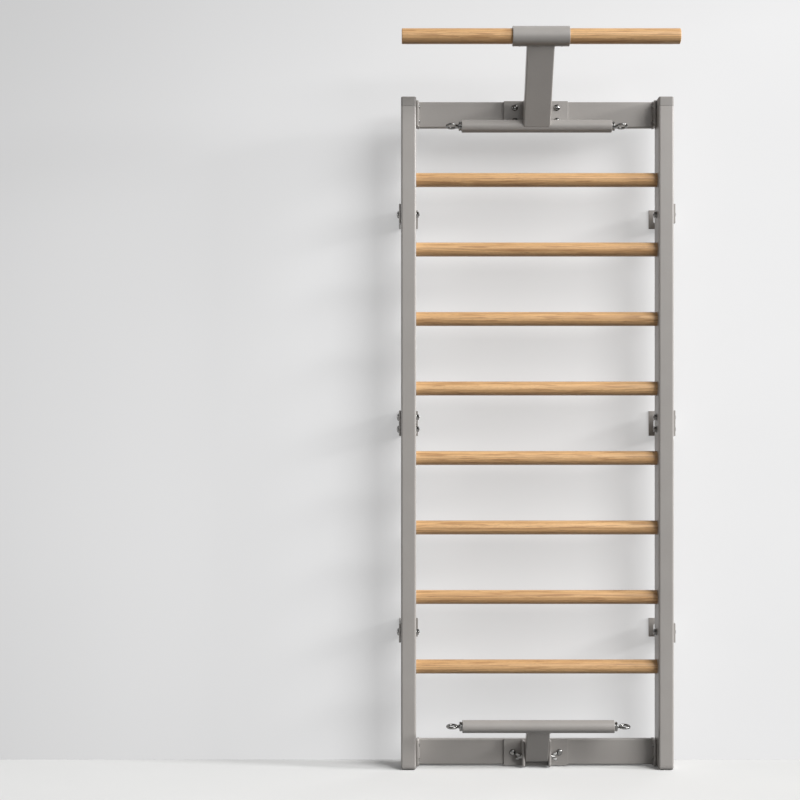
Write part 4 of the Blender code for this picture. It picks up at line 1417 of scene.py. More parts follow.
@dataclass
class Crossbars:
    """Top and bottom flat tubes with their end plates, welds and screws."""

    sizes: FrameSizes
    height: float = 0.078
    depth: float = 0.020
    corner: float = 0.0045
    lip: float = 0.001
    end_plate_depth: float = 0.045
    end_plate_thickness: float = 0.008
    end_plate_corner: float = 0.004
    end_plate_rim: float = 0.0036
    screw_spread: float = 0.044
    screw_diameter: float = 0.0105
    screw_height: float = 0.0036
    screw_shank: float = 0.002
    weld_radius: float = 0.0016

    @property
    def plate_face(self) -> float:
        """Distance of the end plates' inner faces from the middle."""
        return self.sizes.inner - self.sizes.gap - self.end_plate_thickness

    @property
    def mid_depth(self) -> float:
        """Depth of the tubes' middle."""
        return self.sizes.back - self.lip - self.depth / 2

    def dress(self, shop: Workshop) -> None:
        """Add both crossbars, the beads on their ends and the end plate screws.

        Args:
            shop: Takes the pieces.
        """
        reach = self.plate_face + self.end_plate_thickness / 2
        levels = {"top": self.sizes.top_level, "bottom": self.sizes.bottom_level}
        for name, level in levels.items():
            bar = rounded_bar((self.height, self.depth, self.corner), -reach, reach)
            bodies = [moved(bar, shift(0.0, self.mid_depth, level), ALONG_X)]
            bodies += [self.end_plate(side, level) for side in Side]
            node = f"{name}_crossbar"
            shop.add(f"{node}_weldment", joined(bodies), Slot.PAINT, [node])
        ends = [(side, level) for level in levels.values() for side in Side]
        shop.add_welds("crossbar_welds", [self.seam(*end) for end in ends], self.weld_radius)
        screw = socket_screw(self.screw_diameter, self.screw_height, self.screw_shank)
        spots = [self.screw_spot(*end, row) for end in ends for row in (-1, 1)]
        shop.add_fasteners("end_plate_screws", screw, spots)

    def end_plate(self, side: Side, level: float) -> Mesh:
        """The plate against one upright.

        Args:
            side: The upright's side.
            level: The crossbar's level.

        Returns:
            The plate, in place.
        """
        s = self.sizes
        half = self.end_plate_thickness / 2
        size = (s.plate_height, self.end_plate_depth, self.end_plate_corner)
        made = rounded_bar(size, -half, half, self.end_plate_rim, self.end_plate_rim)
        across = side.value * (self.plate_face + half)
        return moved(made, shift(across, s.back - self.end_plate_depth / 2, level), ALONG_X)

    def seam(self, side: Side, level: float) -> Path:
        """The line where a tube meets its end plate.

        Args:
            side: The upright's side.
            level: The crossbar's level.

        Returns:
            The line, which ends at its start.
        """
        outline = rounded_rectangle(self.height, self.depth, self.corner, SEAM_STEPS)
        across = side.value * self.plate_face
        line = [Vector((across, self.mid_depth + y, level + z)) for z, y in outline]
        return [*line, line[0]]

    def screw_spot(self, side: Side, level: float, row: int) -> Matrix:
        """Where a screw sits on an end plate, in front of the tube, facing the middle.

        Args:
            side: The upright's side.
            level: The crossbar's level.
            row: 1 for the upper screw, -1 for the lower one.

        Returns:
            The screw's place.
        """
        strip = self.end_plate_depth - self.depth - self.lip
        depth = self.sizes.back - self.end_plate_depth + strip / 2
        spot = Vector((side.value * self.plate_face, depth, level + row * self.screw_spread / 2))
        return aim(spot, -side.outwards)


@dataclass
class WallBrackets:
    """Six bent brackets with their carriage bolts and flanged nuts."""

    sizes: FrameSizes
    thickness: float = 0.006
    setback: float = 0.010
    wall_leg: float = 0.058
    bend: float = 0.008
    inner_bend: float = 0.0025
    bend_steps: int = 8
    edge_round: float = 0.0012
    rim: float = 0.0007
    outer_height: float = 0.057
    middle_height: float = 0.076
    bolt_pitch: float = 0.036
    slot_size: Point2 = (0.009, 0.022)
    slot_from_end: float = 0.019
    slot_cutter: float = 0.030
    slot_rim: float = 0.0001
    bolt_diameter: float = 0.008
    head_diameter: float = 0.022
    head_height: float = 0.006
    bolt_tail: float = 0.002
    tip_chamfer: float = 0.0008
    thread_length: float = 0.012
    thread_lead: float = 0.0002
    thread_pitch: float = 0.00125
    thread_turns: int = 9
    thread_depth: float = 0.0006
    nut_height: float = 0.008
    nut_corners: float = 0.019
    nut_chamfer: float = 0.0013
    nut_crown: float = 0.86
    nut_lead: float = 0.0002
    flange_diameter: float = 0.022
    flange_thickness: float = 0.0018
    flange_rim: float = 0.0011
    flange_round: float = 0.0004
    flange_crown: float = 0.9

    def rows(self) -> dict[str, tuple[float, float, dict[str, float]]]:
        """List the brackets of one upright.

        Returns:
            Level, plate height and named bolt levels of each bracket, by its name.
        """
        levels = self.sizes.rung_levels
        middle = len(levels) // 2
        low = (levels[0] + levels[1]) / 2
        mid = (levels[middle - 1] + levels[middle]) / 2
        high = (levels[-2] + levels[-1]) / 2
        half = self.bolt_pitch / 2
        pair = {"middle_lower": mid - half, "middle_upper": mid + half}
        return {
            "bottom": (low, self.outer_height, {"bottom": low}),
            "middle": (mid, self.middle_height, pair),
            "top": (high, self.outer_height, {"top": high}),
        }

    def dress(self, shop: Workshop) -> None:
        """Add the brackets, then all bolts and all nuts as one piece each.

        Args:
            shop: Takes the pieces.
        """
        for side in Side:
            for name, (level, height, _) in self.rows().items():
                node = f"{side.label}_{name}_wall_bracket"
                shop.add(f"{node}_plate", self.bracket(side, level, height), Slot.PAINT, [node])
        s = self.sizes
        levels = {k: v for _, _, bolts in self.rows().values() for k, v in bolts.items()}
        head_face = s.outer + s.gap + self.thickness + s.gap
        nut_face = s.inner - s.gap
        grip = head_face - nut_face + self.nut_height + self.bolt_tail
        heads, nuts, names = [], [], []
        for side in Side:
            for name, level in levels.items():
                axis = Vector((0.0, s.mid_depth, level))
                heads.append(aim(axis + side.outwards * head_face, side.outwards))
                nuts.append(aim(axis + side.outwards * nut_face, -side.outwards))
                names.append(f"{side.label}_{name}_bracket")
        bolt_nodes = [f"{name}_bolt" for name in names]
        shop.add_fasteners("bracket_bolts", self.bolt(grip), heads, bolt_nodes)
        shop.add_fasteners("bracket_nuts", self.nut(), nuts, [f"{name}_nut" for name in names])

    def bracket(self, side: Side, level: float, height: float) -> Mesh:
        """A bent bracket with its wall slot.

        Args:
            side: The upright's side.
            level: The bracket's level.
            height: The bracket's height.

        Returns:
            The bracket, in place.
        """
        s = self.sizes
        near = s.outer + s.gap
        far = near + self.thickness
        end = far - self.wall_leg
        start, inside = s.front + self.setback, s.wall - self.thickness
        corners = [
            (near, start, self.edge_round),
            (far, start, self.edge_round),
            (far, s.wall, self.bend),
            (end, s.wall, self.edge_round),
            (end, inside, self.edge_round),
            (near, inside, self.inner_bend),
        ]
        outline = [(side.value * x, y) for x, y in eased(corners, self.bend_steps)]
        body = moved(plate(outline, height, self.rim), shift(0.0, 0.0, level))
        width, length = self.slot_size
        reach = (length - width) / 2
        band = stadium((0.0, -reach), (0.0, reach), width / 2)
        across = side.value * (end + self.slot_from_end)
        slot = plate(band, self.slot_cutter, self.slot_rim)
        return cut(body, moved(slot, shift(across, s.wall, level), FACING_FRONT))

    def bolt(self, grip: float) -> Mesh:
        """A carriage bolt with a smooth domed head and a threaded tail.

        Args:
            grip: Length of the shank.

        Returns:
            The new mesh.
        """
        radius = self.bolt_diameter / 2
        thread = self.thread_length - grip
        line = dome_profile(self.head_diameter, self.head_height, DOME_FOOT)
        line += [(radius, 0.0), (radius, thread)]
        for number in range(self.thread_turns):
            level = thread - self.thread_lead - number * self.thread_pitch
            line.append((radius - self.thread_depth, level))
            line.append((radius, level - self.thread_pitch / 2))
        line += [(radius - self.tip_chamfer, -grip), (0.0, -grip)]
        return turned(line, FASTENER_SIDES)

    def nut(self) -> Mesh:
        """A six-sided nut with chamfered corners on a flange, standing on Z = 0.

        Returns:
            The new mesh.
        """
        bore = self.bolt_diameter / 2 + self.sizes.gap
        corner, radius = self.nut_corners / 2, self.flange_diameter / 2
        top, step = self.nut_height, self.flange_thickness
        block = [(bore, step / 2), (corner, step / 2), (corner, top), (bore, top)]
        drum = [
            (0.0, 0.0),
            (corner + self.nut_lead, 0.0),
            (corner + self.nut_lead, top - self.nut_chamfer),
            (self.nut_crown * corner, top),
            (0.0, top),
        ]
        chamfered = turned(drum, FASTENER_SIDES)
        hexagon = cut(turned(block, HEXAGON, closed=True), chamfered, Kept.INSIDE)
        flange = [
            (bore, 0.0, 0.0),
            (radius, 0.0, self.flange_round),
            (radius, self.flange_rim, self.flange_round),
            (self.flange_crown * corner, step, 0.0),
            (bore, step, 0.0),
        ]
        return joined([hexagon, turned(eased(flange), FASTENER_SIDES, closed=True)])


@dataclass
class EyeBar:
    """The tube of an eye bar, the bushes in its ends and the eyes that turn in them."""

    sizes: FrameSizes
    name: str
    axis: Vector
    tilt: float
    collar_diameter: float = 0.028
    collar_length: float = 0.009
    collar_round: float = 0.0022
    groove_levels: tuple[float, float, float, float] = (0.0014, 0.0022, 0.0034, 0.0042)
    groove_depth: float = 0.0011
    groove_round: float = 0.0004
    bore_round: float = 0.0008
    bush_depth: float = 0.014
    plug_round: float = 0.0005
    shank_diameter: float = 0.008
    shank_tail: float = 0.004
    tail_round: float = 0.0008
    eye_gap: float = 0.0004
    shoulder_diameter: float = 0.0132
    shoulder_height: float = 0.0014
    shoulder_rounds: Point2 = (0.0005, 0.0007)
    neck: float = 0.003
    neck_diameter: float = 0.0092
    neck_level: float = 0.0026
    neck_round: float = 0.0012
    stalk_diameter: float = 0.0084
    ring_diameter: float = 0.036
    ring_section: float = 0.0075

    def build_tube(self) -> Mesh:
        """The tube, in place.

        Returns:
            The new mesh.
        """
        s = self.sizes
        radius = s.eye_bar_diameter / 2
        made = tube(radius, radius - s.eye_bar_wall, s.eye_bar_length, s.eye_bar_rim)
        return moved(made, Matrix.Translation(self.axis), ALONG_X)

    def dress_ends(self, shop: Workshop, body: str) -> None:
        """Add both bushes and both eyes.

        Args:
            shop: Takes the pieces.
            body: The body that the bushes ride on.
        """
        half = self.sizes.eye_bar_length / 2
        turn = Matrix.Rotation(self.tilt, 4, "X")
        tilted = Matrix.Translation(self.axis) @ turn @ Matrix.Translation(-self.axis)
        for side in Side:
            place = aim(self.axis + side.outwards * half, side.outwards)
            bush = f"{self.name}_{side.label}_bush"
            shop.add(f"{bush}_turning", moved(self.bush(), place), Slot.ZINC, [bush], body)
            eye = f"{self.name}_{side.label}_eye"
            shop.add(f"{eye}_forging", moved(self.eye(), tilted, place), Slot.ZINC, [eye], eye)

    def bush(self) -> Mesh:
        """A plug with a grooved collar above Z = 0.

        Returns:
            The new mesh.
        """
        s = self.sizes
        bore = self.shank_diameter / 2 + s.gap
        collar = self.collar_diameter / 2
        groove = collar - self.groove_depth
        plug = s.eye_bar_diameter / 2 - s.eye_bar_wall - s.gap
        low, low_inside, high_inside, high = self.groove_levels
        corners = [
            (bore, self.collar_length, self.bore_round),
            (collar, self.collar_length, self.collar_round),
            (collar, high, self.groove_round),
            (groove, high_inside, self.groove_round),
            (groove, low_inside, self.groove_round),
            (collar, low, self.groove_round),
            (collar, 0.0, 0.0),
            (plug, 0.0, 0.0),
            (plug, -self.bush_depth, self.plug_round),
            (bore, -self.bush_depth, 0.0),
        ]
        return turned(eased(corners), closed=True)

    def eye(self) -> Mesh:
        """A ring on a shank with a shoulder, which stands out from the bar's end along Z.

        Returns:
            The new mesh.
        """
        mid = (self.ring_diameter - self.ring_section) / 2
        centre = self.collar_length + self.neck + self.ring_diameter / 2
        face = self.collar_length + self.eye_gap
        tail = -self.bush_depth - self.shank_tail
        stem, shoulder = self.shank_diameter / 2, self.shoulder_diameter / 2
        foot_round, crown_round = self.shoulder_rounds
        corners = [
            (0.0, tail, 0.0),
            (stem, tail, self.tail_round),
            (stem, face, 0.0),
            (shoulder, face, foot_round),
            (shoulder, face + self.shoulder_height, crown_round),
            (self.neck_diameter / 2, face + self.neck_level, self.neck_round),
            (self.stalk_diameter / 2, centre - mid, 0.0),
            (0.0, centre - mid, 0.0),
        ]
        stalk = turned(eased(corners, closed=False), FASTENER_SIDES)
        return joined([moved(self.ring(mid), shift(0.0, 0.0, centre), FACING_FRONT), stalk])

    def ring(self, mid: float) -> Mesh:
        """The eye's ring about Z.

        Args:
            mid: Radius of the ring's middle line.

        Returns:
            The new mesh.
        """
        section = self.ring_section / 2
        angles = [FULL_TURN * i / EYE_SECTION_STEPS for i in range(EYE_SECTION_STEPS)]
        line = [(mid + section * math.cos(a), section * math.sin(a)) for a in angles]
        return turned(line, EYE_SIDES, closed=True)


@dataclass
class Mount:
    """A plate on a crossbar's front with its domed bolts."""

    sizes: FrameSizes
    level: float
    corner: float = 0.0012
    back_rim: float = 0.0003
    front_rim: float = 0.0005
    head_diameter: float = 0.019
    head_height: float = 0.0055
    shank_diameter: float = 0.008
    shank: float = 0.0166

    def build_plate(self) -> Mesh:
        """The plate, in place.

        Returns:
            The new mesh.
        """
        s = self.sizes
        size = (s.plate_width, s.plate_height, self.corner)
        made = rounded_bar(size, -s.plate_back, -s.plate_front, self.back_rim, self.front_rim)
        return moved(made, shift(0.0, 0.0, self.level), FACING_FRONT)

    def dress_bolts(
        self, shop: Workshop, name: str, spots: Sequence[Point2], nodes: Sequence[str]
    ) -> None:
        """Add the plate's bolts as one piece.

        Args:
            shop: Takes the piece.
            name: The piece's name.
            spots: How far across and up from the plate's middle each bolt is.
            nodes: CAD nodes of the bolts.
        """
        profile = dome_profile(self.head_diameter, self.head_height, DOME_FOOT)
        bolt = headed(profile, self.shank_diameter / 2, self.shank)
        front = Vector((0.0, -1.0, 0.0))
        depth = self.sizes.plate_front - self.sizes.gap
        places = [aim(Vector((x, depth, self.level + z)), front) for x, z in spots]
        shop.add_fasteners(name, bolt, places, nodes)


def straight(start: Vector, end: Vector) -> Path:
    """Even points from one place to another."""
    return [start.lerp(end, i / LINE_STEPS) for i in range(LINE_STEPS + 1)]


def saddle(place: Matrix, outline: Sequence[Point2], reach: float, radius: float) -> Path:
    """The line where an arm meets a round bar across its end.

    Args:
        place: The arm's own axes, with Z along the arm.
        outline: The arm's section.
        reach: Distance of the bar's axis along the arm.
        radius: The bar's radius.

    Returns:
        The line, which ends at its start.
    """
    line = [place @ Vector((x, y, reach - math.sqrt(radius**2 - y**2))) for x, y in outline]
    return [*line, line[0]]


@dataclass
class PullUpUnit:
    """The top bracket, the leaning arm with its sleeve, the oak bar and the upper eye bar."""

    sizes: FrameSizes
    eye_axis: Vector = field(default_factory=lambda: Vector((0.0, 0.0269, 1.917)))
    eye_tilt: float = math.radians(-14.0)
    sleeve_axis: Vector = field(default_factory=lambda: Vector((0.0, -0.124, 2.149)))
    arm_size: Point3 = (0.080, 0.038, 0.004)
    arm_foot: float = 0.006
    arm_rim: float = 0.0008
    arm_short: float = 0.024
    sleeve_diameter: float = 0.058
    sleeve_length: float = 0.165
    sleeve_rim: float = 0.0012
    bar_diameter: float = 0.045
    bar_length: float = 0.806
    bar_round: float = 0.003
    grain_roll: float = 0.7
    grain_cut: Point3 = (0.35, 0.01, 0.021)
    gusset_thickness: float = 0.008
    gusset_inset: float = 0.002
    gusset_rim: float = 0.0008
    bolt_spacing: Point2 = (0.126, 0.040)
    screw_diameter: float = 0.009
    screw_height: float = 0.0024
    screw_shank: float = 0.003
    screw_sink: float = 0.0003
    weld_radius: float = 0.0018
    weld_arc: float = math.radians(62.0)

    @property
    def tilt(self) -> float:
        """How far the arm leans forwards."""
        run = self.sleeve_axis - self.eye_axis
        return math.atan2(-run.y, run.z)

    @property
    def length(self) -> float:
        """Distance between the eye bar and the sleeve."""
        return (self.sleeve_axis - self.eye_axis).length

    @property
    def arm_place(self) -> Matrix:
        """The arm's own axes, with Z from the eye bar to the sleeve."""
        return Matrix.Translation(self.eye_axis) @ Matrix.Rotation(self.tilt, 4, "X")

    @property
    def sleeve_place(self) -> Matrix:
        """The sleeve's own axes, with Z along the frame's X."""
        return Matrix.Translation(self.sleeve_axis) @ ALONG_X

    def dress(self, shop: Workshop) -> None:
        """Add every piece of the unit.

        Args:
            shop: Takes the pieces.
        """
        mount = Mount(self.sizes, self.sizes.top_level)
        node = "top_mount_bracket"
        bodies = [mount.build_plate(), *(self.gusset(side) for side in Side)]
        shop.add(f"{node}_weldment", joined(bodies), Slot.PAINT, [node])
        across, up = (spacing / 2 for spacing in self.bolt_spacing)
        spots = [(side.value * across, row * up) for side in Side for row in (-1, 1)]
        nodes = [f"{node}_{side.label}_{row}_bolt" for side in Side for row in ("lower", "upper")]
        mount.dress_bolts(shop, "top_mount_bolts", spots, nodes)
        shop.add("pull_up_arm_weldment", self.arm(), Slot.PAINT, ["pull_up_arm"])
        shop.add("oak_pull_up_bar", self.bar(), Slot.WOOD, ["pull_up_bar"])
        eye_bar = EyeBar(self.sizes, "top", self.eye_axis, self.eye_tilt)
        shop.add("top_eye_bar_tube", eye_bar.build_tube(), Slot.PAINT, ["top_eye_bar"])
        shop.add_welds("pull_up_welds", self.seams(), self.weld_radius)
        screw = socket_screw(self.screw_diameter, self.screw_height, self.screw_shank)
        shop.add_fasteners("sleeve_screws", screw, [self.screw_spot(side) for side in Side])
        eye_bar.dress_ends(shop, "frame")

    def arm(self) -> Mesh:
        """The arm with its sleeve.

        Returns:
            Both, in place.
        """
        bore = self.bar_diameter / 2 + self.sizes.gap
        sleeve = tube(self.sleeve_diameter / 2, bore, self.sleeve_length, self.sleeve_rim)
        top = self.length - self.arm_short
        arm = rounded_bar(self.arm_size, self.arm_foot, top, self.arm_rim)
        return joined([moved(arm, self.arm_place), moved(sleeve, self.sleeve_place)])

    def bar(self) -> Mesh:
        """The oak bar, with rounded ends and its grain.

        Returns:
            The bar, in place.
        """
        half, radius = self.bar_length / 2, self.bar_diameter / 2
        levels = [-half + 2 * half * i / ROD_RINGS for i in range(1, ROD_RINGS)]
        corners = [
            (0.0, -half, 0.0),
            (radius, -half, self.bar_round),
            *((radius, level, 0.0) for level in levels),
            (radius, half, self.bar_round),
            (0.0, half, 0.0),
        ]
        made = moved(turned(eased(corners, closed=False)), self.sleeve_place)
        roll, start = Matrix.Rotation(self.grain_roll, 3, "X"), Vector(self.grain_cut)
        spots = [roll @ (vert.co - self.sleeve_axis) + start for vert in made.vertices]
        mark = made.attributes.new(GRAIN_MARK, "FLOAT_VECTOR", "POINT")
        mark.data.foreach_set("vector", [part for spot in spots for part in spot])
        return made

    def arm_back(self, level: float) -> float:
        """Depth of the arm's back face at a level."""
        standoff = self.arm_size[1] / 2 / math.cos(self.tilt)
        return self.eye_axis.y + standoff - (level - self.eye_axis.z) * math.tan(self.tilt)

    def gusset_levels(self) -> Point2:
        """Find where the gussets start and end.

        Returns:
            Levels of their lower and upper edge.
        """
        s = self.sizes
        low = self.eye_axis.z + s.eye_bar_diameter / 2 + s.edge_inset
        return low, s.top_level + s.plate_height / 2 - s.edge_inset

    def gusset(self, side: Side) -> Mesh:
        """A plate between the mount plate and the arm's back.

        Args:
            side: The gusset's side.

        Returns:
            The gusset, in place.
        """
        low, high = self.gusset_levels()
        root = self.sizes.plate_root
        front = [(self.arm_back(high), high), (self.arm_back(low), low)]
        corners = [(root, low), (root, high), *front]
        across = side.value * (self.arm_size[0] / 2 - self.gusset_inset - self.gusset_thickness / 2)
        made = plate(corners, self.gusset_thickness, self.gusset_rim)
        return moved(made, shift(across, 0.0, 0.0), STANDING)

    def seams(self) -> list[Path]:
        """Lines of the welds on the arm's ends and the gussets.

        Returns:
            The lines.
        """
        s = self.sizes
        width, depth, corner = self.arm_size
        outline = rounded_rectangle(width, depth, corner, RIM_STEPS)
        lines = [saddle(self.arm_place, outline, self.length, self.sleeve_diameter / 2)]
        radius = s.eye_bar_diameter / 2
        turns = [self.weld_arc * (2 * i / ARC_STEPS - 1) for i in range(ARC_STEPS + 1)]
        low, high = self.gusset_levels()
        depths = ((s.plate_front, s.plate_front), (self.arm_back(low), self.arm_back(high)))
        for side in Side:
            x = side.value * width / 2
            arc = [Vector((x, radius * math.sin(a), radius * math.cos(a))) for a in turns]
            lines.append([self.arm_place @ spot for spot in arc])
            x = side.value * (width / 2 - self.gusset_inset)
            for low_depth, high_depth in depths:
                start = Vector((x, low_depth, low + s.weld_inset))
                lines.append(straight(start, Vector((x, high_depth, high - s.weld_inset))))
        return lines

    def screw_spot(self, side: Side) -> Matrix:
        """Where a screw sits on the sleeve's underside, beside the arm.

        Args:
            side: The screw's side.

        Returns:
            The screw's place.
        """
        downwards = self.arm_place.to_3x3() @ Vector((0.0, 0.0, -1.0))
        across = side.outwards * (self.arm_size[0] + self.sleeve_length) / 4
        drop = downwards * (self.sleeve_diameter / 2 - self.screw_sink)
        return aim(self.sleeve_axis + across + drop, downwards)


@dataclass
class AnchorUnit:
    """The bottom bracket, the hinged arm with its eye bar and the wing bolts."""

    sizes: FrameSizes
    pivot: Vector = field(default_factory=lambda: Vector((0.0, 0.0357, 0.033)))
    tilt: float = math.radians(33.7)
    eye_tilt: float = math.radians(9.0)
    arm_width: float = 0.068
    arm_depth: float = 0.032
    arm_rim: float = 0.0025
    reach: float = 0.1226
    wrap: float = 0.013
    ear_thickness: float = 0.0085
    ear_nose: float = 0.016
    ear_corner: float = 0.008
    ear_corner_steps: int = 10
    ear_rim: float = 0.0036
    ear_clearance: float = 0.0008
    bolt_spacing: float = 0.140
    weld_radius: float = 0.0018

    @property
    def place(self) -> Matrix:
        """The arm's own axes, with Z from the hinge to the eye bar."""
        return Matrix.Translation(self.pivot) @ Matrix.Rotation(self.tilt, 4, "X")

    @property
    def ear_face(self) -> float:
        """Distance of the ears' outer faces from the middle."""
        return self.arm_width / 2 + self.ear_clearance + self.ear_thickness

    def dress(self, shop: Workshop) -> None:
        """Add every piece of the unit.

        Args:
            shop: Takes the pieces.
        """
        mount = Mount(self.sizes, self.sizes.bottom_level)
        node = "anchor_bracket"
        bodies = [mount.build_plate(), *(self.ear(side) for side in Side)]
        shop.add(f"{node}_weldment", joined(bodies), Slot.PAINT, [node])
        spots = [(side.value * self.bolt_spacing / 2, 0.0) for side in Side]
        nodes = [f"{node}_{side.label}_bolt" for side in Side]
        mount.dress_bolts(shop, "anchor_mount_bolts", spots, nodes)
        shop.add_welds("ear_welds", self.ear_seams(), self.weld_radius)
        axis = self.place @ Vector((0.0, 0.0, self.reach))
        eye_bar = EyeBar(self.sizes, "bottom", axis, self.eye_tilt)
        arm = joined([self.arm(), eye_bar.build_tube()])
        shop.add("anchor_arm_weldment", arm, Slot.PAINT, ["anchor_arm"], "anchor_arm")
        shop.add_welds("anchor_arm_welds", [self.arm_seam()], self.weld_radius, "anchor_arm")
        eye_bar.dress_ends(shop, "anchor_arm")
        WingBolts(self.pivot, self.ear_face, self.arm_width / 2, self.sizes.gap).dress(shop)

    def ear_levels(self) -> Point2:
        """Lower and upper edge of the ears."""
        half = self.sizes.plate_height / 2 - self.sizes.edge_inset
        return self.sizes.bottom_level - half, self.sizes.bottom_level + half

    def ear(self, side: Side) -> Mesh:
        """A plate with a rounded nose that carries the hinge.

        Args:
            side: The ear's side.

        Returns:
            The ear, in place.
        """
        low, high = self.ear_levels()
        root, nose = self.sizes.plate_root, self.pivot.y - self.ear_nose
        back = [(root, low, 0.0), (root, high, 0.0)]
        front = [(nose, high, self.ear_corner), (nose, low, self.ear_corner)]
        outline = eased(back + front, self.ear_corner_steps)
        made = plate(outline, self.ear_thickness, self.ear_rim)
        across = side.value * (self.ear_face - self.ear_thickness / 2)
        return moved(made, shift(across, 0.0, 0.0), STANDING)

    def ear_seams(self) -> list[Path]:
        """Lines of the welds on the ears' outer faces.

        Returns:
            The lines.
        """
        inset = self.sizes.weld_inset
        low, high = self.ear_levels()
        foot = Vector((0.0, self.sizes.plate_front, low + inset))
        head = Vector((0.0, self.sizes.plate_front, high - inset))
        faces = [side.outwards * self.ear_face for side in Side]
        return [straight(face + foot, face + head) for face in faces]

    def arm(self) -> Mesh:
        """The arm with its round hinge end.

        Returns:
            The arm, in place.
        """
        half = self.arm_depth / 2
        top = self.reach - self.sizes.eye_bar_diameter / 2 + self.wrap
        turns = [math.pi + math.pi * step / HINGE_STEPS for step in range(HINGE_STEPS + 1)]
        hinge = [(half * math.cos(a), half * math.sin(a)) for a in turns]
        outline = [(half, top), (-half, top), *hinge]
        return moved(plate(outline, self.arm_width, self.arm_rim), self.place, STANDING)

    def arm_seam(self) -> Path:
        """The line where the arm meets the eye bar."""
        outline = rounded_rectangle(self.arm_width, self.arm_depth, self.arm_rim, SEAM_STEPS)
        return saddle(self.place, outline, self.reach, self.sizes.eye_bar_diameter / 2)


@dataclass
class WingBolts:
    """The two wing bolts that are the hinge's pins."""

    pivot: Vector
    ear_face: float
    arm_half: float
    gap: float
    bite: float = 0.018
    shank_diameter: float = 0.010
    shank_round: float = 0.0006
    flange_diameter: float = 0.020
    flange_thickness: float = 0.002
    flange_rounds: Point2 = (0.0004, 0.0006)
    hub_diameter: float = 0.015
    hub_length: float = 0.013
    hub_round: float = 0.0012
    tip_diameter: float = 0.010
    tip_round: float = 0.0018
    wing_reach: float = 0.019
    wing_thickness: float = 0.0048
    wing_rim: float = 0.0018
    span: float = 0.026
    lobe_diameter: float = 0.0095
    turns: dict[Side, float] = field(
        default_factory=lambda: {Side.LEFT: math.radians(28.0), Side.RIGHT: math.radians(-15.0)}
    )

    def dress(self, shop: Workshop) -> None:
        """Add both bolts, each on its own body.

        Args:
            shop: Takes the pieces.
        """
        for side in Side:
            node = f"{side.label}_wing_bolt"
            stand = shift(side.value * (self.ear_face + self.gap), 0.0, 0.0)
            upright = Matrix.Rotation(side.value * QUARTER, 4, "Y")
            turn = Matrix.Rotation(self.turns[side], 4, "X")
            made = joined([self.core(), self.wing(-1), self.wing(1)])
            made = moved(made, Matrix.Translation(self.pivot), turn, stand, upright)
            shop.add(f"{node}_casting", made, Slot.ZINC, [node], node)

    def core(self) -> Mesh:
        """The flange, hub and shank about Z.

        Returns:
            The new mesh.
        """
        stem, flange, top = self.shank_diameter / 2, self.flange_diameter / 2, self.hub_length
        tail = self.arm_half - self.bite - self.ear_face - self.gap
        low_round, high_round = self.flange_rounds
        corners = [
            (0.0, top, 0.0),
            (self.tip_diameter / 2, top, self.tip_round),
            (self.hub_diameter / 2, self.flange_thickness, self.hub_round),
            (flange, self.flange_thickness, high_round),
            (flange, 0.0, low_round),
            (stem, 0.0, 0.0),
            (stem, tail, self.shank_round),
            (0.0, tail, 0.0),
        ]
        return turned(eased(corners, closed=False), FASTENER_SIDES)

    def wing(self, lobe: int) -> Mesh:
        """One wing, which leans out from the hub's foot past the hub's top.

        Args:
            lobe: 1 or -1, the way it leans.

        Returns:
            The new mesh.
        """
        radius = self.lobe_diameter / 2
        root = (lobe * radius / 2, self.flange_thickness + radius / 2)
        tip = (lobe * (self.span / 2 - radius), self.wing_reach - radius)
        made = plate(stadium(root, tip, radius), self.wing_thickness, self.wing_rim)
        return moved(made, FACING_FRONT)


@dataclass(frozen=True)
class Lamp:
    """A soft lamp of the studio."""

    name: str
    place: Point3
    target: Point3
    size: Point2
    power: float

    def light(self) -> None:
        """Add the lamp to the scene."""
        data = bpy.data.lights.new(self.name, "AREA")
        data.shape = "RECTANGLE"
        data.size, data.size_y = self.size
        data.energy = self.power
        lamp = bpy.data.objects.new(self.name, data)
        lamp.location = self.place
        heading = Vector(self.target) - Vector(self.place)
        lamp.rotation_euler = heading.to_track_quat("-Z", "Y").to_euler()
        bpy.context.scene.collection.objects.link(lamp)


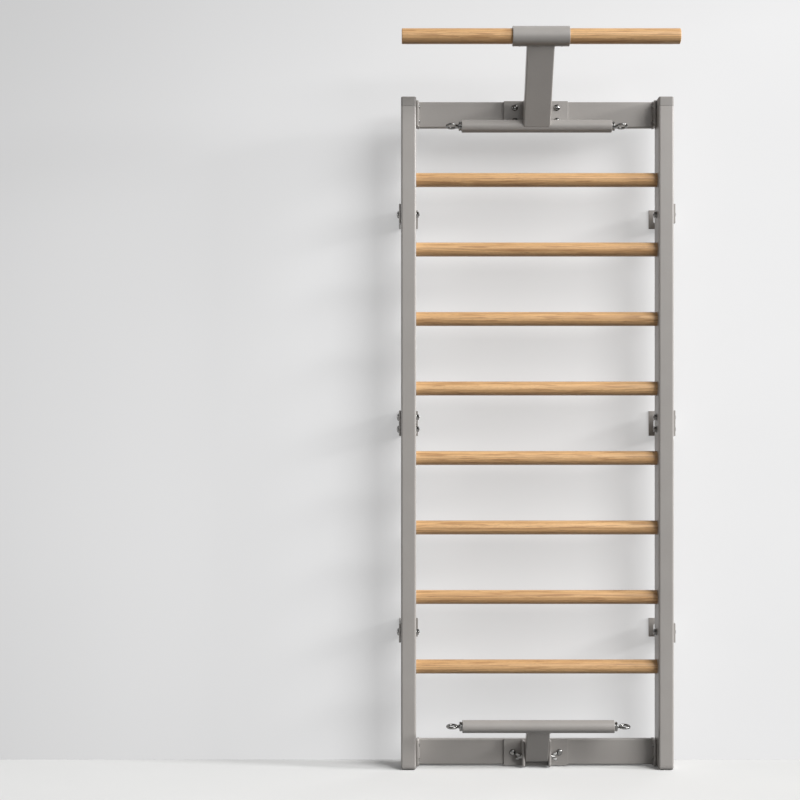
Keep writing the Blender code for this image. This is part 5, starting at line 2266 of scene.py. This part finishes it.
@dataclass
class Studio:
    """Floor, backdrop, lamps, world and camera."""

    sizes: FrameSizes
    side_ends: Point2 = (-3.2, 2.3)
    floor_ends: Point2 = (-3.4, 3.4)
    wall_top: float = 4.0
    stand_off: float = 0.0005
    camera_place: Point3 = (-0.408, -4.785, 1.005)
    lens: float = 72.5
    sensor: float = 36.0
    rise: float = 0.0395
    world_colour: Colour = (0.84, 0.845, 0.85)
    ambient: float = 0.10
    reflected: float = 0.2
    lamps: tuple[Lamp, ...] = (
        Lamp("high_soft_box", (9.9, -10.4, 10.0), (0.0, 0.0, 1.0), (10.4, 11.0), 3450.0),
        Lamp("side_key", (16.6, -3.55, 6.1), (0.0, 0.05, 1.05), (2.3, 1.9), 2450.0),
        Lamp("front_panel", (0.8, -11.0, 4.2), (0.0, 0.0, 1.2), (5.0, 3.4), 100.0),
        Lamp("rear_fill", (7.0, 11.5, 2.0), (0.0, 0.0, 1.0), (5.0, 3.0), 700.0),
        Lamp("left_fill", (-12.5, -1.0, 2.5), (0.0, 0.0, 1.0), (4.0, 3.0), 330.0),
    )

    def dress(self) -> None:
        """Add everything that isn't part of the object."""
        left, right = self.side_ends
        near, far = self.floor_ends
        low, top = -self.stand_off, self.wall_top
        back = self.sizes.wall + self.stand_off
        corners = [(left, near, low), (right, near, low), (right, far, low), (left, far, low)]
        floor = self.surface("floor", corners, PALE_FLOOR)
        corners = [(left, back, 0.0), (right, back, 0.0), (right, back, top), (left, back, top)]
        wall = self.surface("backdrop", corners, PALE_BACKDROP)
        for lamp in self.lamps:
            lamp.light()
        self.fill_world()
        self.set_camera()
        bpy.context.scene.view_settings.view_transform = "Standard"

    @staticmethod
    def surface(name: str, corners: Sequence[Point3], finish: StudioFinish) -> bpy.types.Object:
        """A flat surface.

        Args:
            name: The surface's name.
            corners: Its corners, anticlockwise as seen from its front.
            finish: Its finish.

        Returns:
            The new object.
        """
        mesh = bpy.data.meshes.new(name)
        mesh.from_pydata(corners, [], [tuple(range(len(corners)))])
        mesh.materials.append(finish.make())
        obj = bpy.data.objects.new(name, mesh)
        bpy.context.scene.collection.objects.link(obj)
        return obj

    def fill_world(self) -> None:
        """A dim even fill, dim in reflections too, that looks pale to the camera."""
        world = bpy.data.worlds.new("studio_world")
        world.use_nodes = True
        bpy.context.scene.world = world
        canvas = NodeCanvas(world.node_tree)
        path = canvas.add("ShaderNodeLightPath").outputs
        mirrored = canvas.math("MULTIPLY", path["Is Glossy Ray"], self.reflected)
        strength = canvas.math("MAXIMUM", path["Is Camera Ray"], mirrored)
        strength = canvas.math("MAXIMUM", strength, self.ambient)
        looks = {"Color": rgba(self.world_colour), "Strength": strength}
        canvas.feed(world.node_tree.nodes["Background"], looks)

    def set_camera(self) -> None:
        """A camera that looks straight at the wall from about the height of the frame's middle."""
        data = bpy.data.cameras.new("camera")
        data.sensor_width = self.sensor
        data.lens = self.lens
        data.shift_y = self.rise
        camera = bpy.data.objects.new("camera", data)
        camera.location = self.camera_place
        camera.rotation_euler = (QUARTER, 0.0, 0.0)
        bpy.context.scene.collection.objects.link(camera)
        bpy.context.scene.camera = camera


def main() -> None:
    """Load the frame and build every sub-assembly in order."""
    logging.basicConfig(level=logging.INFO, format="%(message)s")
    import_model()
    effects = ShaderEffects()
    shop = Workshop({slot: finish.make(effects) for slot, finish in FINISHES.items()})
    sizes = FrameSizes()
    for unit in (Uprights, Rungs, Crossbars, WallBrackets, PullUpUnit, AnchorUnit):
        unit(sizes).dress(shop)
    Studio(sizes).dress()


if __name__ == "__main__":
    main()
